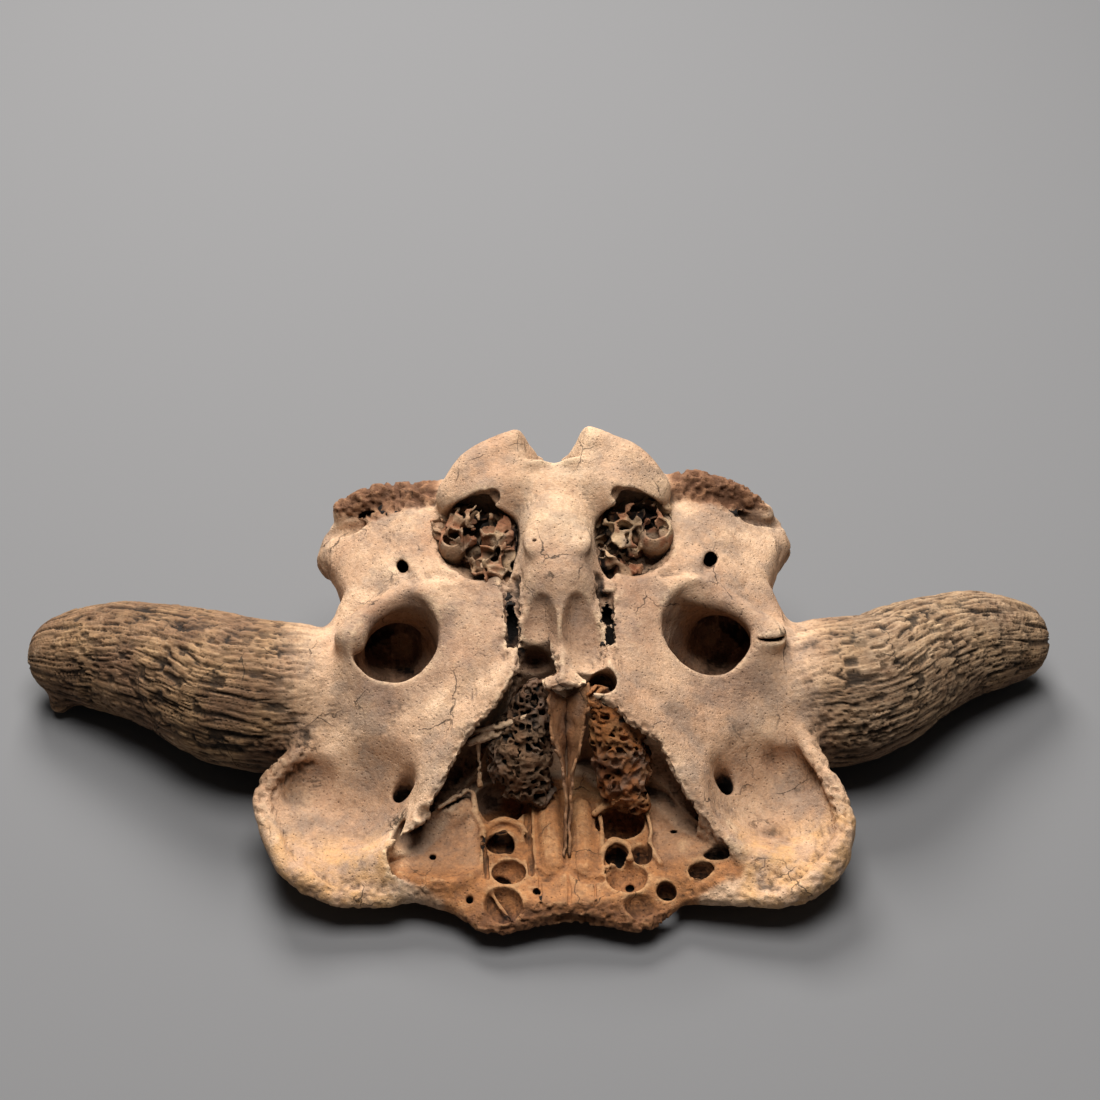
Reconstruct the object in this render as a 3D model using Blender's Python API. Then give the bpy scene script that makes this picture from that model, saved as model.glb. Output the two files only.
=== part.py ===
"""Weathered bison cranium without its face, lying on its forehead and its two horn cores.

The whole skull is one grown bone, so it is one object. It is modelled upside down, as it rests:
+X is the bone's own left-to-right width, +Y runs from the broken nose end to the condyles, and
+Z goes from the forehead, which is underneath, up to the base of the skull.
"""

import math

import bmesh
import bpy
import numpy as np
from mathutils import Matrix, Vector

MM = 0.001

# Driving dimensions, in millimetres
MIDLINE = 10.0            # the skull's middle plane stands this far to the +X side of the box centre
SINUS_FLOOR = 27.0        # height of the skull roof's inner face in the open nose
GRID_PITCH = 6.0          # spacing of the points on the two skins
VOXEL = 3.0
KEPT_SHARE = 0.072        # share of the triangles that the decimation keeps
BONE_TAN = (0.42, 0.31, 0.20)

# Landmarks on the side that faces up, as (across from the middle plane, along, height).
# Each one stands on both halves of the skull.
VENTRAL_SKIN = (
    # broken nose edge and the front of the orbit roofs
    (0, -121, 27), (38, -133, 18), (66, -115, 22), (100, -112, 24), (126, -114, 28),
    # broken wall between the orbit and the nose, from front to back
    (60, -100, 30), (98, -94, 38), (80, -84, 50), (67, -68, 66), (52, -47, 84), (36, -38, 96), (18, -15, 110),
    # middle line, from the keel to the condyles
    (0, -27, 104), (0, 0, 112), (0, 17, 120), (0, 48, 126), (0, 110, 128),
    # orbit roof and its rim
    (122, -72, 33), (98, -66, 50), (140, -60, 36), (128, -40, 48), (155, -110, 33), (142, -24, 57),
    # wall behind the orbit, up to the temporal hole
    (88, -51, 60), (105, -30, 68), (125, -15, 66), (88, -14, 82), (131, 4, 74),
    # joint surface of the jaw and the root of the cheek bone
    (60, 18, 104), (84, 8, 92), (112, 20, 90), (77, 32, 110), (117, 12, 106),
    # ear region, back to the broken processes beside the condyles
    (124, 62, 98), (140, 100, 96), (126, 124, 102), (90, 114, 126), (44, 74, 122), (44, 100, 126),
)

# Landmarks on the forehead and the back of the head, the side that faces down
DORSAL_SKIN = (
    (0, -128, 13), (40, -134, 12), (70, -118, 14), (100, -112, 15), (130, -110, 18), (160, -80, 26),
    (166, -60, 30), (150, -30, 28), (0, -80, 5), (60, -80, 7), (110, -70, 14), (0, -30, 0), (60, -30, 3),
    (100, -30, 10), (0, 30, 0), (60, 30, 4), (110, 30, 12), (0, 80, 8), (60, 80, 12), (100, 80, 30),
    (0, 115, 24), (60, 110, 30), (100, 105, 46), (130, 60, 60), (135, 100, 74), (130, 20, 14),
)

# Half of the cranium's outline seen from above, from the nose notch round to the back
PLAN_OUTLINE = (
    (0, -120), (18, -127), (38, -134), (52, -130), (64, -116), (84, -108), (110, -112), (130, -116),
    (146, -110), (160, -96), (168, -78), (170, -58), (163, -42), (146, -24), (136, -4), (138, 20),
    (132, 45), (124, 62), (130, 80), (141, 98), (138, 112), (126, 126), (96, 122), (70, 126), (40, 128), (0, 124),
)

# Outline of the open nose seen from above, from the keel forwards
NOSE_OUTLINE = (
    (13, -7), (22, -16), (34, -37), (52, -47), (66, -67), (80, -84), (99, -95), (88, -101), (66, -106),
)

# Stations along limbs, as (across, along, height, radius). Horn stations are true X, not mirrored.
HORN_CORE_LEFT = (
    (-118, 10, 46, 42), (-150, 17, 49, 43), (-180, 28, 49, 42), (-212, 43, 45, 37), (-240, 55, 40, 34),
    (-261, 62, 33, 30), (-276, 65, 24, 25), (-284, 65, 17, 18),
)
HORN_CORE_RIGHT = (
    (138, 8, 46, 42), (168, 13, 50, 43), (196, 25, 51, 41), (226, 38, 47, 36), (248, 50, 41, 33),
    (268, 57, 33, 29), (279, 60, 24, 25), (285, 61, 17, 18),
)
CONDYLE = ((10, 113, 146, 18), (26, 109, 144, 26), (44, 101, 136, 25), (58, 94, 126, 16))
EAR_LUMP = ((36, 70, 112, 18), (60, 82, 112, 17), (84, 104, 112, 15))
SKULL_BASE_COLUMN = (
    (0, 98, 132, 30), (0, 76, 128, 25), (0, 56, 122, 23), (0, 40, 119, 22), (0, 14, 107, 18), (0, -12, 94, 14),
    (0, -26, 88, 12),
)
NOSE_SEPTUM = ((0, -12, 84, 10), (0, -40, 62, 9), (0, -68, 42, 8), (0, -98, 27, 8))
TURBINATE = ((20, -20, 62, 13), (26, -44, 44, 15), (28, -66, 30, 11))
CHEEK_STUMP = ((98, 40, 96, 15), (114, 22, 94, 15), (119, 12, 94, 12))
ORBIT_STUMP = ((130, -8, 52, 12), (148, -28, 46, 10), (161, -52, 40, 7))

TEMPORAL_TUNNEL = (
    (91, 11, 108, 25), (92, 14, 88, 24), (92, 34, 68, 21), (98, 58, 60, 19), (122, 84, 58, 19), (165, 98, 60, 22),
)
BRAIN_SPACE = ((0, 152, 116, 21), (0, 124, 113, 20), (0, 98, 100, 26), (0, 66, 82, 33), (0, 40, 72, 28))
SUPRAORBITAL_CANAL = ((88, -54, 84, 6), (89, -50, 55, 6), (90, -44, -12, 6))


def clear_scene():
    """Remove what the start-up file holds."""
    for item in list(bpy.data.objects):
        bpy.data.objects.remove(item, do_unlink=True)


def bone_material():
    """Dry weathered bone: tan, rough and not metallic."""
    material = bpy.data.materials.new("weathered_bone")
    material.use_nodes = True
    shader = material.node_tree.nodes["Principled BSDF"]
    shader.inputs["Base Color"].default_value = (*BONE_TAN, 1.0)
    shader.inputs["Roughness"].default_value = 0.85
    shader.inputs["Metallic"].default_value = 0.0
    return material


def on_both_sides(points):
    """Repeat every point that is off the middle plane on the other half."""
    other_half = [(-p[0], *p[1:]) for p in reversed(points) if p[0] > 0]
    return list(points) + other_half


def skin_through(landmarks, slack=200.0):
    """A smooth sheet, bent like a thin plate, that passes close to the landmarks.

    Returns a function of (across, along) that gives the height there, in millimetres.
    """
    points = np.array(on_both_sides(landmarks), dtype=float)
    places, heights = points[:, :2], points[:, 2]
    count = len(points)

    def bending(squared):
        return 0.5 * squared * np.log(np.maximum(squared, 1e-9))

    gaps = ((places[:, None] - places[None]) ** 2).sum(axis=2)
    system = np.zeros((count + 3, count + 3))
    system[:count, :count] = bending(gaps) + np.eye(count) * slack
    system[:count, count] = system[count, :count] = 1.0
    system[:count, count + 1:] = places
    system[count + 1:, :count] = places.T
    weights = np.linalg.solve(system, np.concatenate([heights, np.zeros(3)]))

    def height(across, along):
        squared = (places[:, 0] - across) ** 2 + (places[:, 1] - along) ** 2
        return float(weights[:count] @ bending(squared) + weights[count:] @ (1.0, across, along))

    return height


def add_object(name, mesh_builder, helper=False):
    """Turn a filled bmesh into an object; a helper is only a tool for a modifier."""
    mesh = bpy.data.meshes.new(name)
    bmesh.ops.recalc_face_normals(mesh_builder, faces=mesh_builder.faces)
    mesh_builder.to_mesh(mesh)
    mesh_builder.free()
    item = bpy.data.objects.new(name, mesh)
    bpy.context.collection.objects.link(item)
    if helper:
        item.hide_render = True
        item.display_type = "WIRE"
    return item


def rounded_path(stations, steps=4):
    """Points of a smooth curve through the stations, with the radius carried along."""
    rows = [np.array(row, dtype=float) for row in stations]
    rows = [2 * rows[0] - rows[1], *rows, 2 * rows[-1] - rows[-2]]
    path = []
    for before, start, end, after in zip(rows, rows[1:], rows[2:], rows[3:]):
        for step in range(steps):
            t = step / steps
            path.append(0.5 * (2 * start + (end - before) * t
                               + (2 * before - 5 * start + 4 * end - after) * t ** 2
                               + (3 * start - before - 3 * end + after) * t ** 3))
    path.append(rows[-2])
    return path


def add_limb(builder, stations, side=1, middle=MIDLINE, sides=20):
    """Loft a round limb through the stations, with a dome on each end."""
    path = rounded_path(stations)
    domes = (0.35, 0.75, 0.96)
    first, last = path[0], path[-1]
    head = (path[1] - path[0])[:3]
    tail = (path[-1] - path[-2])[:3]
    head, tail = head / np.linalg.norm(head), tail / np.linalg.norm(tail)
    rings = []
    for share in domes:
        back = first[3] * math.sqrt(1 - share ** 2)
        rings.append((first[:3] - head * back, first[3] * share, head))
    for index, row in enumerate(path):
        ahead = path[min(index + 1, len(path) - 1)][:3]
        behind = path[max(index - 1, 0)][:3]
        rings.append((row[:3], row[3], ahead - behind))
    for share in reversed(domes):
        beyond = last[3] * math.sqrt(1 - share ** 2)
        rings.append((last[:3] + tail * beyond, last[3] * share, tail))

    loops = []
    for centre, radius, direction in rings:
        place = Vector((centre[0] * side + middle, centre[1], centre[2])) * MM
        facing = Vector((direction[0] * side, direction[1], direction[2])).normalized()
        turn = facing.to_track_quat("Z", "Y").to_matrix().to_4x4()
        made = bmesh.ops.create_circle(builder, segments=sides, radius=radius * MM,
                                       matrix=Matrix.Translation(place) @ turn)
        loops.append(made["verts"])
    for low, high in zip(loops, loops[1:]):
        between = [edge for ring in (low, high) for vert in ring for edge in vert.link_edges
                   if edge.other_vert(vert) in ring]
        bmesh.ops.bridge_loops(builder, edges=list(dict.fromkeys(between)))
    for ring in (loops[0], loops[-1]):
        builder.faces.new(ring)


def add_prism(builder, outline, bottom, top):
    """Stand an outline, given across from the middle plane, up between two heights."""
    corners = [builder.verts.new(((across + MIDLINE) * MM, along * MM, bottom * MM))
               for across, along in outline]
    base = builder.faces.new(corners)
    raised = bmesh.ops.extrude_face_region(builder, geom=[base])
    lifted = [item for item in raised["geom"] if isinstance(item, bmesh.types.BMVert)]
    bmesh.ops.translate(builder, verts=lifted, vec=(0.0, 0.0, (top - bottom) * MM))


def cranium_block():
    """The mass between the ventral and the dorsal skin, trimmed to the plan outline."""
    ventral, dorsal = skin_through(VENTRAL_SKIN), skin_through(DORSAL_SKIN)
    half_width, half_depth = 180.0, 140.0
    builder = bmesh.new()
    sheet = bmesh.ops.create_grid(
        builder,
        x_segments=round(2 * half_width / GRID_PITCH), y_segments=round(2 * half_depth / GRID_PITCH), size=1.0,
        matrix=Matrix.Diagonal((half_width, half_depth, 1.0, 1.0)))
    upper = list(sheet["verts"])
    lowered = bmesh.ops.extrude_face_region(builder, geom=list(builder.faces))
    lower = [item for item in lowered["geom"] if isinstance(item, bmesh.types.BMVert)]
    for verts, height in ((upper, dorsal), (lower, ventral)):
        for vert in verts:
            across, along = vert.co.x, vert.co.y
            vert.co = Vector((across + MIDLINE, along, height(across, along))) * MM
    block = add_object("cranium_block", builder, helper=True)

    outline = bmesh.new()
    add_prism(outline, on_both_sides(PLAN_OUTLINE), -20.0, 180.0)
    trim = add_object("plan_outline", outline, helper=True)
    add_boolean(block, trim, "INTERSECT")
    return block


def add_boolean(item, other, operation):
    """Combine an object with a helper by an exact Boolean."""
    modifier = item.modifiers.new(f"{operation.lower()} {other.name}", "BOOLEAN")
    modifier.operation = operation
    modifier.solver = "EXACT"
    modifier.use_self = True
    modifier.object = other


def hollows():
    """One helper that holds every opening: nose, temporal holes, canals and brain space."""
    nose = bmesh.new()
    add_prism(nose, on_both_sides(NOSE_OUTLINE), SINUS_FLOOR, 170.0)
    yield add_object("nose_opening", nose, helper=True)

    tunnels = bmesh.new()
    for side in (-1, 1):
        add_limb(tunnels, TEMPORAL_TUNNEL, side)
        add_limb(tunnels, SUPRAORBITAL_CANAL, side, sides=10)
    add_limb(tunnels, BRAIN_SPACE)
    yield add_object("bone_openings", tunnels, helper=True)


def bone_lumps():
    """The limbs and lumps that stand on the cranium block."""
    builder = bmesh.new()
    add_limb(builder, HORN_CORE_LEFT, middle=0.0, sides=28)
    add_limb(builder, HORN_CORE_RIGHT, middle=0.0, sides=28)
    add_limb(builder, SKULL_BASE_COLUMN)
    for side in (-1, 1):
        add_limb(builder, CONDYLE, side)
        add_limb(builder, EAR_LUMP, side)
        add_limb(builder, CHEEK_STUMP, side)
        add_limb(builder, ORBIT_STUMP, side)
    return add_object("bone_lumps", builder, helper=True)


def nose_bones():
    """The middle wall and the two scroll masses that stand in the open nose."""
    builder = bmesh.new()
    add_limb(builder, NOSE_SEPTUM)
    for side in (-1, 1):
        add_limb(builder, TURBINATE, side)
    return add_object("nose_bones", builder, helper=True)


def resting_ground():
    """A slab whose top face is the level that the skull lies on."""
    builder = bmesh.new()
    add_prism(builder, ((-400, -300), (400, -300), (400, 300), (-400, 300)), -60.0, 0.0)
    return add_object("resting_ground", builder, helper=True)


def skull():
    """Join the masses, open the hollows, and cut flat what the skull rests on."""
    item = add_object("skull", bmesh.new())
    item.data.materials.append(bone_material())
    add_boolean(item, cranium_block(), "UNION")
    add_boolean(item, bone_lumps(), "UNION")
    for opening in hollows():
        add_boolean(item, opening, "DIFFERENCE")
    add_boolean(item, nose_bones(), "UNION")

    remesh = item.modifiers.new("even skin", "REMESH")
    remesh.mode = "VOXEL"
    remesh.voxel_size = VOXEL * MM
    smooth = item.modifiers.new("worn edges", "SMOOTH")
    smooth.factor = 0.5
    smooth.iterations = 4
    decimate = item.modifiers.new("fewer faces", "DECIMATE")
    decimate.ratio = KEPT_SHARE
    add_boolean(item, resting_ground(), "DIFFERENCE")
    return item


clear_scene()
skull()
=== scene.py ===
"""Looks of the weathered bison cranium: surface, broken bone, scroll bones, ear cells and studio."""

import logging
import math
from dataclasses import dataclass
from enum import Enum
from typing import Callable, ClassVar, Protocol, Sequence

import bmesh
import bpy
import numpy as np
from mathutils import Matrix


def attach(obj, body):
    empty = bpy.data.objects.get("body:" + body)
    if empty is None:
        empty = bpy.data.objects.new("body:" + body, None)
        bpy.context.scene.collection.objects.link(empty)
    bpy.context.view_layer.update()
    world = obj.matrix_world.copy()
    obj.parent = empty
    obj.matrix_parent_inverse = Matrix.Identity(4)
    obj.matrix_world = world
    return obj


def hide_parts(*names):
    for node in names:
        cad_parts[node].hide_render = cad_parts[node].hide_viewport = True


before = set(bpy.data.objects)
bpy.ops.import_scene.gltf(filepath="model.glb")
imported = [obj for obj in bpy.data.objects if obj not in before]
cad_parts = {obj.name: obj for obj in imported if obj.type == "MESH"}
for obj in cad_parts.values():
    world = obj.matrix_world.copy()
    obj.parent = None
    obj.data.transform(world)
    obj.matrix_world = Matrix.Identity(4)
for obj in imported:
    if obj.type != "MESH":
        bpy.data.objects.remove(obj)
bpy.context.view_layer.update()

import openvdb
from mathutils import Matrix, Vector

log = logging.getLogger("bison_cranium")

Array = np.ndarray
Point = tuple[float, float, float]
Station = tuple[float, float, float, float]
Tint = tuple[float, float, float, float]
Socket = bpy.types.NodeSocket

# Everything below is in millimetres. u runs across from the skull's midline, y to the back of the head,
# z up from the ground, and the finished meshes are scaled to metres about the frame's origin.
METRE = 0.001
MIDLINE = 10.0
BODY = "root"
NODE = "skull"
FAR = 12.0

# Driving sizes of the outer skin of the skull, as (u, y, z), mirrored where u is above 0.
VENTRAL_SKIN = (
    (0, -121, 27), (38, -133, 18), (66, -115, 22), (100, -112, 24),
    (60, -100, 30), (98, -94, 38), (80, -84, 50), (67, -68, 66), (52, -47, 84), (36, -38, 96), (18, -15, 110),
    (0, -27, 102), (0, 0, 110), (0, 17, 118), (0, 48, 124), (0, 110, 126),
    (88, -51, 60), (105, -30, 68), (125, -15, 66), (88, -14, 82), (131, 4, 74), (98, -66, 50),
    (60, 18, 104), (84, 8, 92), (112, 20, 90), (77, 32, 110), (117, 12, 104),
    (124, 62, 98), (140, 100, 96), (126, 124, 102), (90, 114, 124), (44, 74, 120), (44, 100, 124),
)
DISH_LEFT = ((-122, -72, 33), (-145, -62, 36), (-132, -42, 46), (-118, -92, 33))
DISH_RIGHT = ((122, -72, 34), (138, -66, 38), (126, -44, 48), (118, -96, 33))
ORBIT_RIM_LEFT = (
    (-143, -19, 58), (-166, -41, 52), (-172, -52, 46), (-168, -69, 42), (-159, -92, 36),
    (-147, -104, 32), (-129, -110, 24), (-102, -110, 22),
)
ORBIT_RIM_RIGHT = (
    (139, -26, 60), (144, -39, 58), (154, -62, 52), (158, -79, 46), (154, -98, 42),
    (146, -107, 36), (132, -119, 32), (114, -121, 26), (73, -114, 22),
)
DORSAL_SKIN = (
    (0, -128, 13), (40, -134, 12), (70, -118, 14), (100, -112, 15), (130, -110, 18), (160, -80, 26),
    (166, -60, 30), (150, -30, 28), (0, -80, 5), (60, -80, 7), (110, -70, 14), (0, -30, 0), (60, -30, 3),
    (100, -30, 10), (0, 30, 0), (60, 30, 4), (110, 30, 12), (0, 80, 8), (60, 80, 12), (100, 80, 30),
    (0, 115, 24), (60, 110, 30), (100, 105, 46), (130, 60, 60), (135, 100, 74), (130, 20, 14),
)
PLAN_LEFT = (
    (-124, 0), (-127, -18), (-134, -38), (-130, -52), (-116, -64), (-108, -84), (-111, -110), (-112, -129),
    (-106, -147), (-93, -161), (-70, -171), (-52, -175), (-39, -169), (-20, -148), (-4, -136),
    (20, -138), (45, -132), (62, -124), (80, -130), (98, -141), (112, -138), (126, -126), (125, -96),
    (126.5, -70), (128, -40), (124, 0),
)
PLAN_RIGHT = (
    (-124, 0), (-127, 18), (-134, 38), (-130, 52), (-116, 64), (-114, 73), (-113, 90), (-122, 114),
    (-120, 133), (-109, 148), (-98, 157), (-79, 161), (-62, 157), (-39, 148), (-26, 142), (-4, 136),
    (20, 138), (45, 132), (62, 124), (80, 130), (98, 141), (112, 138), (126, 126), (125, 96),
    (126.5, 70), (128, 40), (124, 0),
)
NOSE_LEFT = (
    (-27, -10), (-19, -12), (-16, -4), (-9, -4), (-4, -9), (-4, -19), (-14, -22), (-34, -37), (-44, -53),
    (-65, -68), (-80, -80), (-88, -99), (-99, -97), (-112, -70), (-150, -50),
)
NOSE_RIGHT = (
    (-26, 3), (-25, 13), (-33, 18), (-37, 28), (-43, 34), (-50, 52), (-72, 66), (-89, 84), (-101, 99),
    (-107, 96), (-116, 70), (-150, 50),
)
NOSE_OUTLINE = NOSE_LEFT + tuple(reversed(NOSE_RIGHT))
SINUS_FLOOR = 28.0

# Driving sizes of the horn cores: a centre line with the core's radius at each station.
HORN_CORE_LEFT = (
    (-100, 20, 42, 36), (-132, 22, 46, 36.5), (-148, 23, 49, 41), (-160, 23, 49, 43.5), (-176, 25, 49.5, 44),
    (-191, 31, 48, 43.5), (-221, 50, 45, 38.5), (-251, 66, 40, 34.5), (-273, 75, 35, 31), (-290, 80, 31, 26),
)
HORN_CORE_RIGHT = (
    (100, 12, 42, 36), (130, 12, 46, 36.5), (144, 14, 48.5, 41), (157, 16, 48.5, 43.5), (170, 18, 49, 43),
    (186, 25, 48, 40), (204, 40, 45, 37.6), (226, 55, 41, 34), (248, 66, 37, 31.5), (266, 72, 32, 27),
    (273, 74, 30, 25),
)


class Side(Enum):
    """Which side of the skull a paired part is on, as it is seen with the nose towards the viewer."""

    LEFT = -1
    RIGHT = 1


class Act(Enum):
    """What a shape does to the clay: adds bone or takes it away."""

    ADD = 1
    CUT = 2


def soft_min(a: Array, b: Array, width: float) -> Array:
    """Joins two distance fields with a rounded valley.

    Args:
        a: The first field, in millimetres.
        b: The second field.
        width: How far the rounding reaches; 0 gives a sharp join.

    Returns:
        The field of both shapes together.
    """
    if width <= 0.0:
        return np.minimum(a, b)
    near = np.maximum(width - np.abs(a - b), 0.0) / width
    return np.minimum(a, b) - near * near * (width * 0.25)


def soft_max(a: Array, b: Array, width: float) -> Array:
    """The part that two distance fields share, with a rounded ridge."""
    return -soft_min(-a, -b, width)


def ramp(value: Array, start: float, end: float) -> Array:
    """Goes smoothly from 0 at start to 1 at end."""
    t = np.clip((value - start) / (end - start), 0.0, 1.0)
    return t * t * (3.0 - 2.0 * t)


def smooth_path(stations: Sequence[Sequence[float]], steps: int = 4) -> list[Array]:
    """Runs a smooth curve through stations, each with any number of values.

    Args:
        stations: The points that the curve goes through.
        steps: How many stretches each gap is split into.

    Returns:
        The points along the curve, ends included.
    """
    knots = [np.array(s, dtype=float) for s in stations]
    knots = [2 * knots[0] - knots[1]] + knots + [2 * knots[-1] - knots[-2]]
    path = []
    for a, b, c, d in zip(knots, knots[1:], knots[2:], knots[3:]):
        for k in range(steps):
            t = k / steps
            path.append(0.5 * (
                2 * b + (c - a) * t + (2 * a - 5 * b + 4 * c - d) * t**2 + (3 * b - a - 3 * c + d) * t**3
            ))
    path.append(knots[-2])
    return path


def lattice_noise(p: Array, size: float, seed: int) -> Array:
    """Smooth seeded noise between -1 and 1.

    Args:
        p: Points, one row of three each, in millimetres.
        size: The size of one swell, in millimetres.
        seed: Which pattern.

    Returns:
        One value for each point.
    """
    q = p / size + seed * 17.31
    cell = np.floor(q).astype(np.int64)
    f = q - cell
    f = f * f * f * (f * (f * 6.0 - 15.0) + 10.0)
    total = np.zeros(len(p))
    for corner in range(8):
        step = np.array([corner & 1, corner >> 1 & 1, corner >> 2 & 1])
        share = np.prod(np.where(step == 1, f, 1.0 - f), axis=1)
        total += share * hash_unit(cell + step, seed)
    return total * 1.6


def hash_unit(cell: Array, seed: int) -> Array:
    """A repeatable value between -1 and 1 for each whole-number cell."""
    h = (cell[..., 0] * 374761393 + cell[..., 1] * 668265263 + cell[..., 2] * 2147483647 + seed * 974634777)
    h = (h & 0xFFFFFFFF).astype(np.uint64)
    h = ((h ^ (h >> np.uint64(13))) * np.uint64(1274126177)) & np.uint64(0xFFFFFFFF)
    h = ((h ^ (h >> np.uint64(15))) * np.uint64(2246822519)) & np.uint64(0xFFFFFFFF)
    h = h ^ (h >> np.uint64(16))
    return h.astype(np.float64) / 2147483647.5 - 1.0


def layered_noise(p: Array, size: float, seed: int, layers: int = 3) -> Array:
    """Noise with finer and weaker layers on top of each other."""
    total = np.zeros(len(p))
    for k in range(layers):
        total += lattice_noise(p, size / 2.03**k, seed + k) * 0.5**k
    return total / (2.0 - 0.5 ** (layers - 1))


def cell_walls(p: Array, size: float, seed: int) -> Array:
    """Finds how far points lie from the walls between seeded cells.

    Args:
        p: Points, one row of three each, in millimetres.
        size: The size of one cell, in millimetres.
        seed: Which pattern.

    Returns:
        For each point, how much further the second nearest cell's middle is than the nearest one.
    """
    q = p / size
    cell = np.floor(q).astype(np.int64)
    first = np.full(len(p), 9.0)
    second = np.full(len(p), 9.0)
    for i in range(-1, 2):
        for j in range(-1, 2):
            for k in range(-1, 2):
                there = cell + np.array([i, j, k])
                middle = there + 0.5 + 0.45 * np.stack([hash_unit(there, seed + n) for n in range(3)], axis=1)
                gap = np.sqrt(((q - middle) ** 2).sum(axis=1))
                second = np.minimum(second, np.maximum(gap, first))
                first = np.minimum(first, gap)
    return (second - first) * size


def sphere_directions(count: int) -> list[Array]:
    """Spreads directions evenly over the whole sphere, in a spiral from the top down."""
    ways = []
    for k in range(count):
        height = 1.0 - (2.0 * k + 1.0) / count
        turn = k * math.pi * (3.0 - math.sqrt(5.0))
        flat = math.sqrt(1.0 - height * height)
        ways.append(np.array([flat * math.cos(turn), flat * math.sin(turn), height]))
    return ways


class Shape(Protocol):
    """A solid given by how far away its skin is."""

    def reach(self) -> tuple[Array, Array]:
        """The lowest and highest corner of the box that the shape fits in."""
        ...

    def gap(self, x: Array, y: Array, z: Array) -> Array:
        """The distance to the skin at each place, negative inside."""
        ...


@dataclass
class Limb:
    """A rounded rod through stations, each a place and a radius."""

    stations: Sequence[Station]
    steps: int = 4

    def path(self) -> list[Array]:
        """The stations with a smooth curve run through them."""
        return smooth_path(self.stations, self.steps) if len(self.stations) > 2 else [
            np.array(s, dtype=float) for s in self.stations
        ]

    def reach(self) -> tuple[Array, Array]:
        """The box round every station."""
        path = np.array(self.path())
        return (path[:, :3] - path[:, 3:]).min(axis=0), (path[:, :3] + path[:, 3:]).max(axis=0)

    def gap(self, x: Array, y: Array, z: Array) -> Array:
        """The distance to the nearest of the rod's rounded cones."""
        path = self.path()
        found = np.full((x.size, y.size, z.size), 2 * FAR, dtype=np.float32)
        for a, b in zip(path, path[1:]):
            e = b[:3] - a[:3]
            length = float(e @ e)
            room = max(a[3], b[3]) + FAR
            near = tuple(
                slice(*np.searchsorted(axis.ravel(), (min(a[k], b[k]) - room, max(a[k], b[k]) + room)))
                for k, axis in enumerate((x, y, z))
            )
            px, py, pz = x[near[0]] - a[0], y[:, near[1]] - a[1], z[:, :, near[2]] - a[2]
            t = np.clip((px * e[0] + py * e[1] + pz * e[2]) / length, 0, 1)
            off = np.sqrt((px - e[0] * t) ** 2 + (py - e[1] * t) ** 2 + (pz - e[2] * t) ** 2)
            off = (off - (a[3] + (b[3] - a[3]) * t)).astype(np.float32)
            found[near] = np.minimum(found[near], off)
        return found


@dataclass
class Lump:
    """A rounded lump with three radii, turned about X, then Y, then Z by degrees."""

    centre: Point
    radii: Point
    turn: Point = (0.0, 0.0, 0.0)

    def frame(self) -> Array:
        """The lump's own three directions, as rows."""
        rx, ry, rz = (math.radians(a) for a in self.turn)
        turn = Matrix.Rotation(rz, 3, "Z") @ Matrix.Rotation(ry, 3, "Y") @ Matrix.Rotation(rx, 3, "X")
        return np.array(turn).T

    def reach(self) -> tuple[Array, Array]:
        """The box round the turned lump."""
        half = np.sqrt(((self.frame() * np.array(self.radii)[:, None]) ** 2).sum(axis=0))
        return np.array(self.centre) - half, np.array(self.centre) + half

    def gap(self, x: Array, y: Array, z: Array) -> Array:
        """A close estimate of the distance to the lump's skin."""
        dx, dy, dz = x - self.centre[0], y - self.centre[1], z - self.centre[2]
        near, far = 0.0, 0.0
        for row, radius in zip(self.frame(), self.radii):
            along = (dx * row[0] + dy * row[1] + dz * row[2]) / radius
            near = near + along**2
            far = far + (along / radius) ** 2
        near = np.sqrt(near)
        return (near * (near - 1.0) / np.maximum(np.sqrt(far), 1e-5)).astype(np.float32)


@dataclass
class Cup:
    """A thin curved wall: part of a lump's skin, kept on one side of a plane through a place."""

    lump: Lump
    thickness: float
    keep: Point
    beyond: float = 0.0

    def reach(self) -> tuple[Array, Array]:
        """The box round the whole lump."""
        low, high = self.lump.reach()
        return low - self.thickness, high + self.thickness

    def gap(self, x: Array, y: Array, z: Array) -> Array:
        """The distance to the wall."""
        way = np.array(self.keep) / np.linalg.norm(self.keep)
        c = self.lump.centre
        side = (x - c[0]) * way[0] + (y - c[1]) * way[1] + (z - c[2]) * way[2]
        wall = np.abs(self.lump.gap(x, y, z)) - self.thickness / 2
        return np.maximum(wall, self.beyond - side).astype(np.float32)


def each_place(x: Array, y: Array, z: Array) -> Array:
    """The places of an open grid as rows of three."""
    return np.stack(np.broadcast_arrays(x, y, z), axis=-1).reshape(-1, 3).astype(np.float64)


@dataclass
class BrokenBone:
    """Thin sheets of bone that fill another shape and leave its skin ragged."""

    inside: Shape
    size: float
    wall: float
    seed: int

    # How wide and how deep the skin's ragged swells are, as shares of the size.
    swell: ClassVar[tuple[float, float]]

    def reach(self) -> tuple[Array, Array]:
        """The box of the shape that holds the sheets."""
        return self.inside.reach()

    def sheets(self, p: Array) -> Array:
        """The distance from each point to the sheets."""
        raise NotImplementedError

    def gap(self, x: Array, y: Array, z: Array) -> Array:
        """The distance to the sheets, or to the ragged skin of the shape that holds them."""
        hold = self.inside.gap(x, y, z).ravel().astype(float)
        p = each_place(x, y, z)
        live = hold < 2.0
        sheets = np.full(len(p), FAR)
        sheets[live] = self.sheets(p[live])
        wide, deep = self.swell
        hold[live] += layered_noise(p[live], self.size * wide, self.seed + 8, 2) * self.size * deep
        return np.maximum(sheets, hold).reshape(np.broadcast(x, y, z).shape).astype(np.float32)


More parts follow.
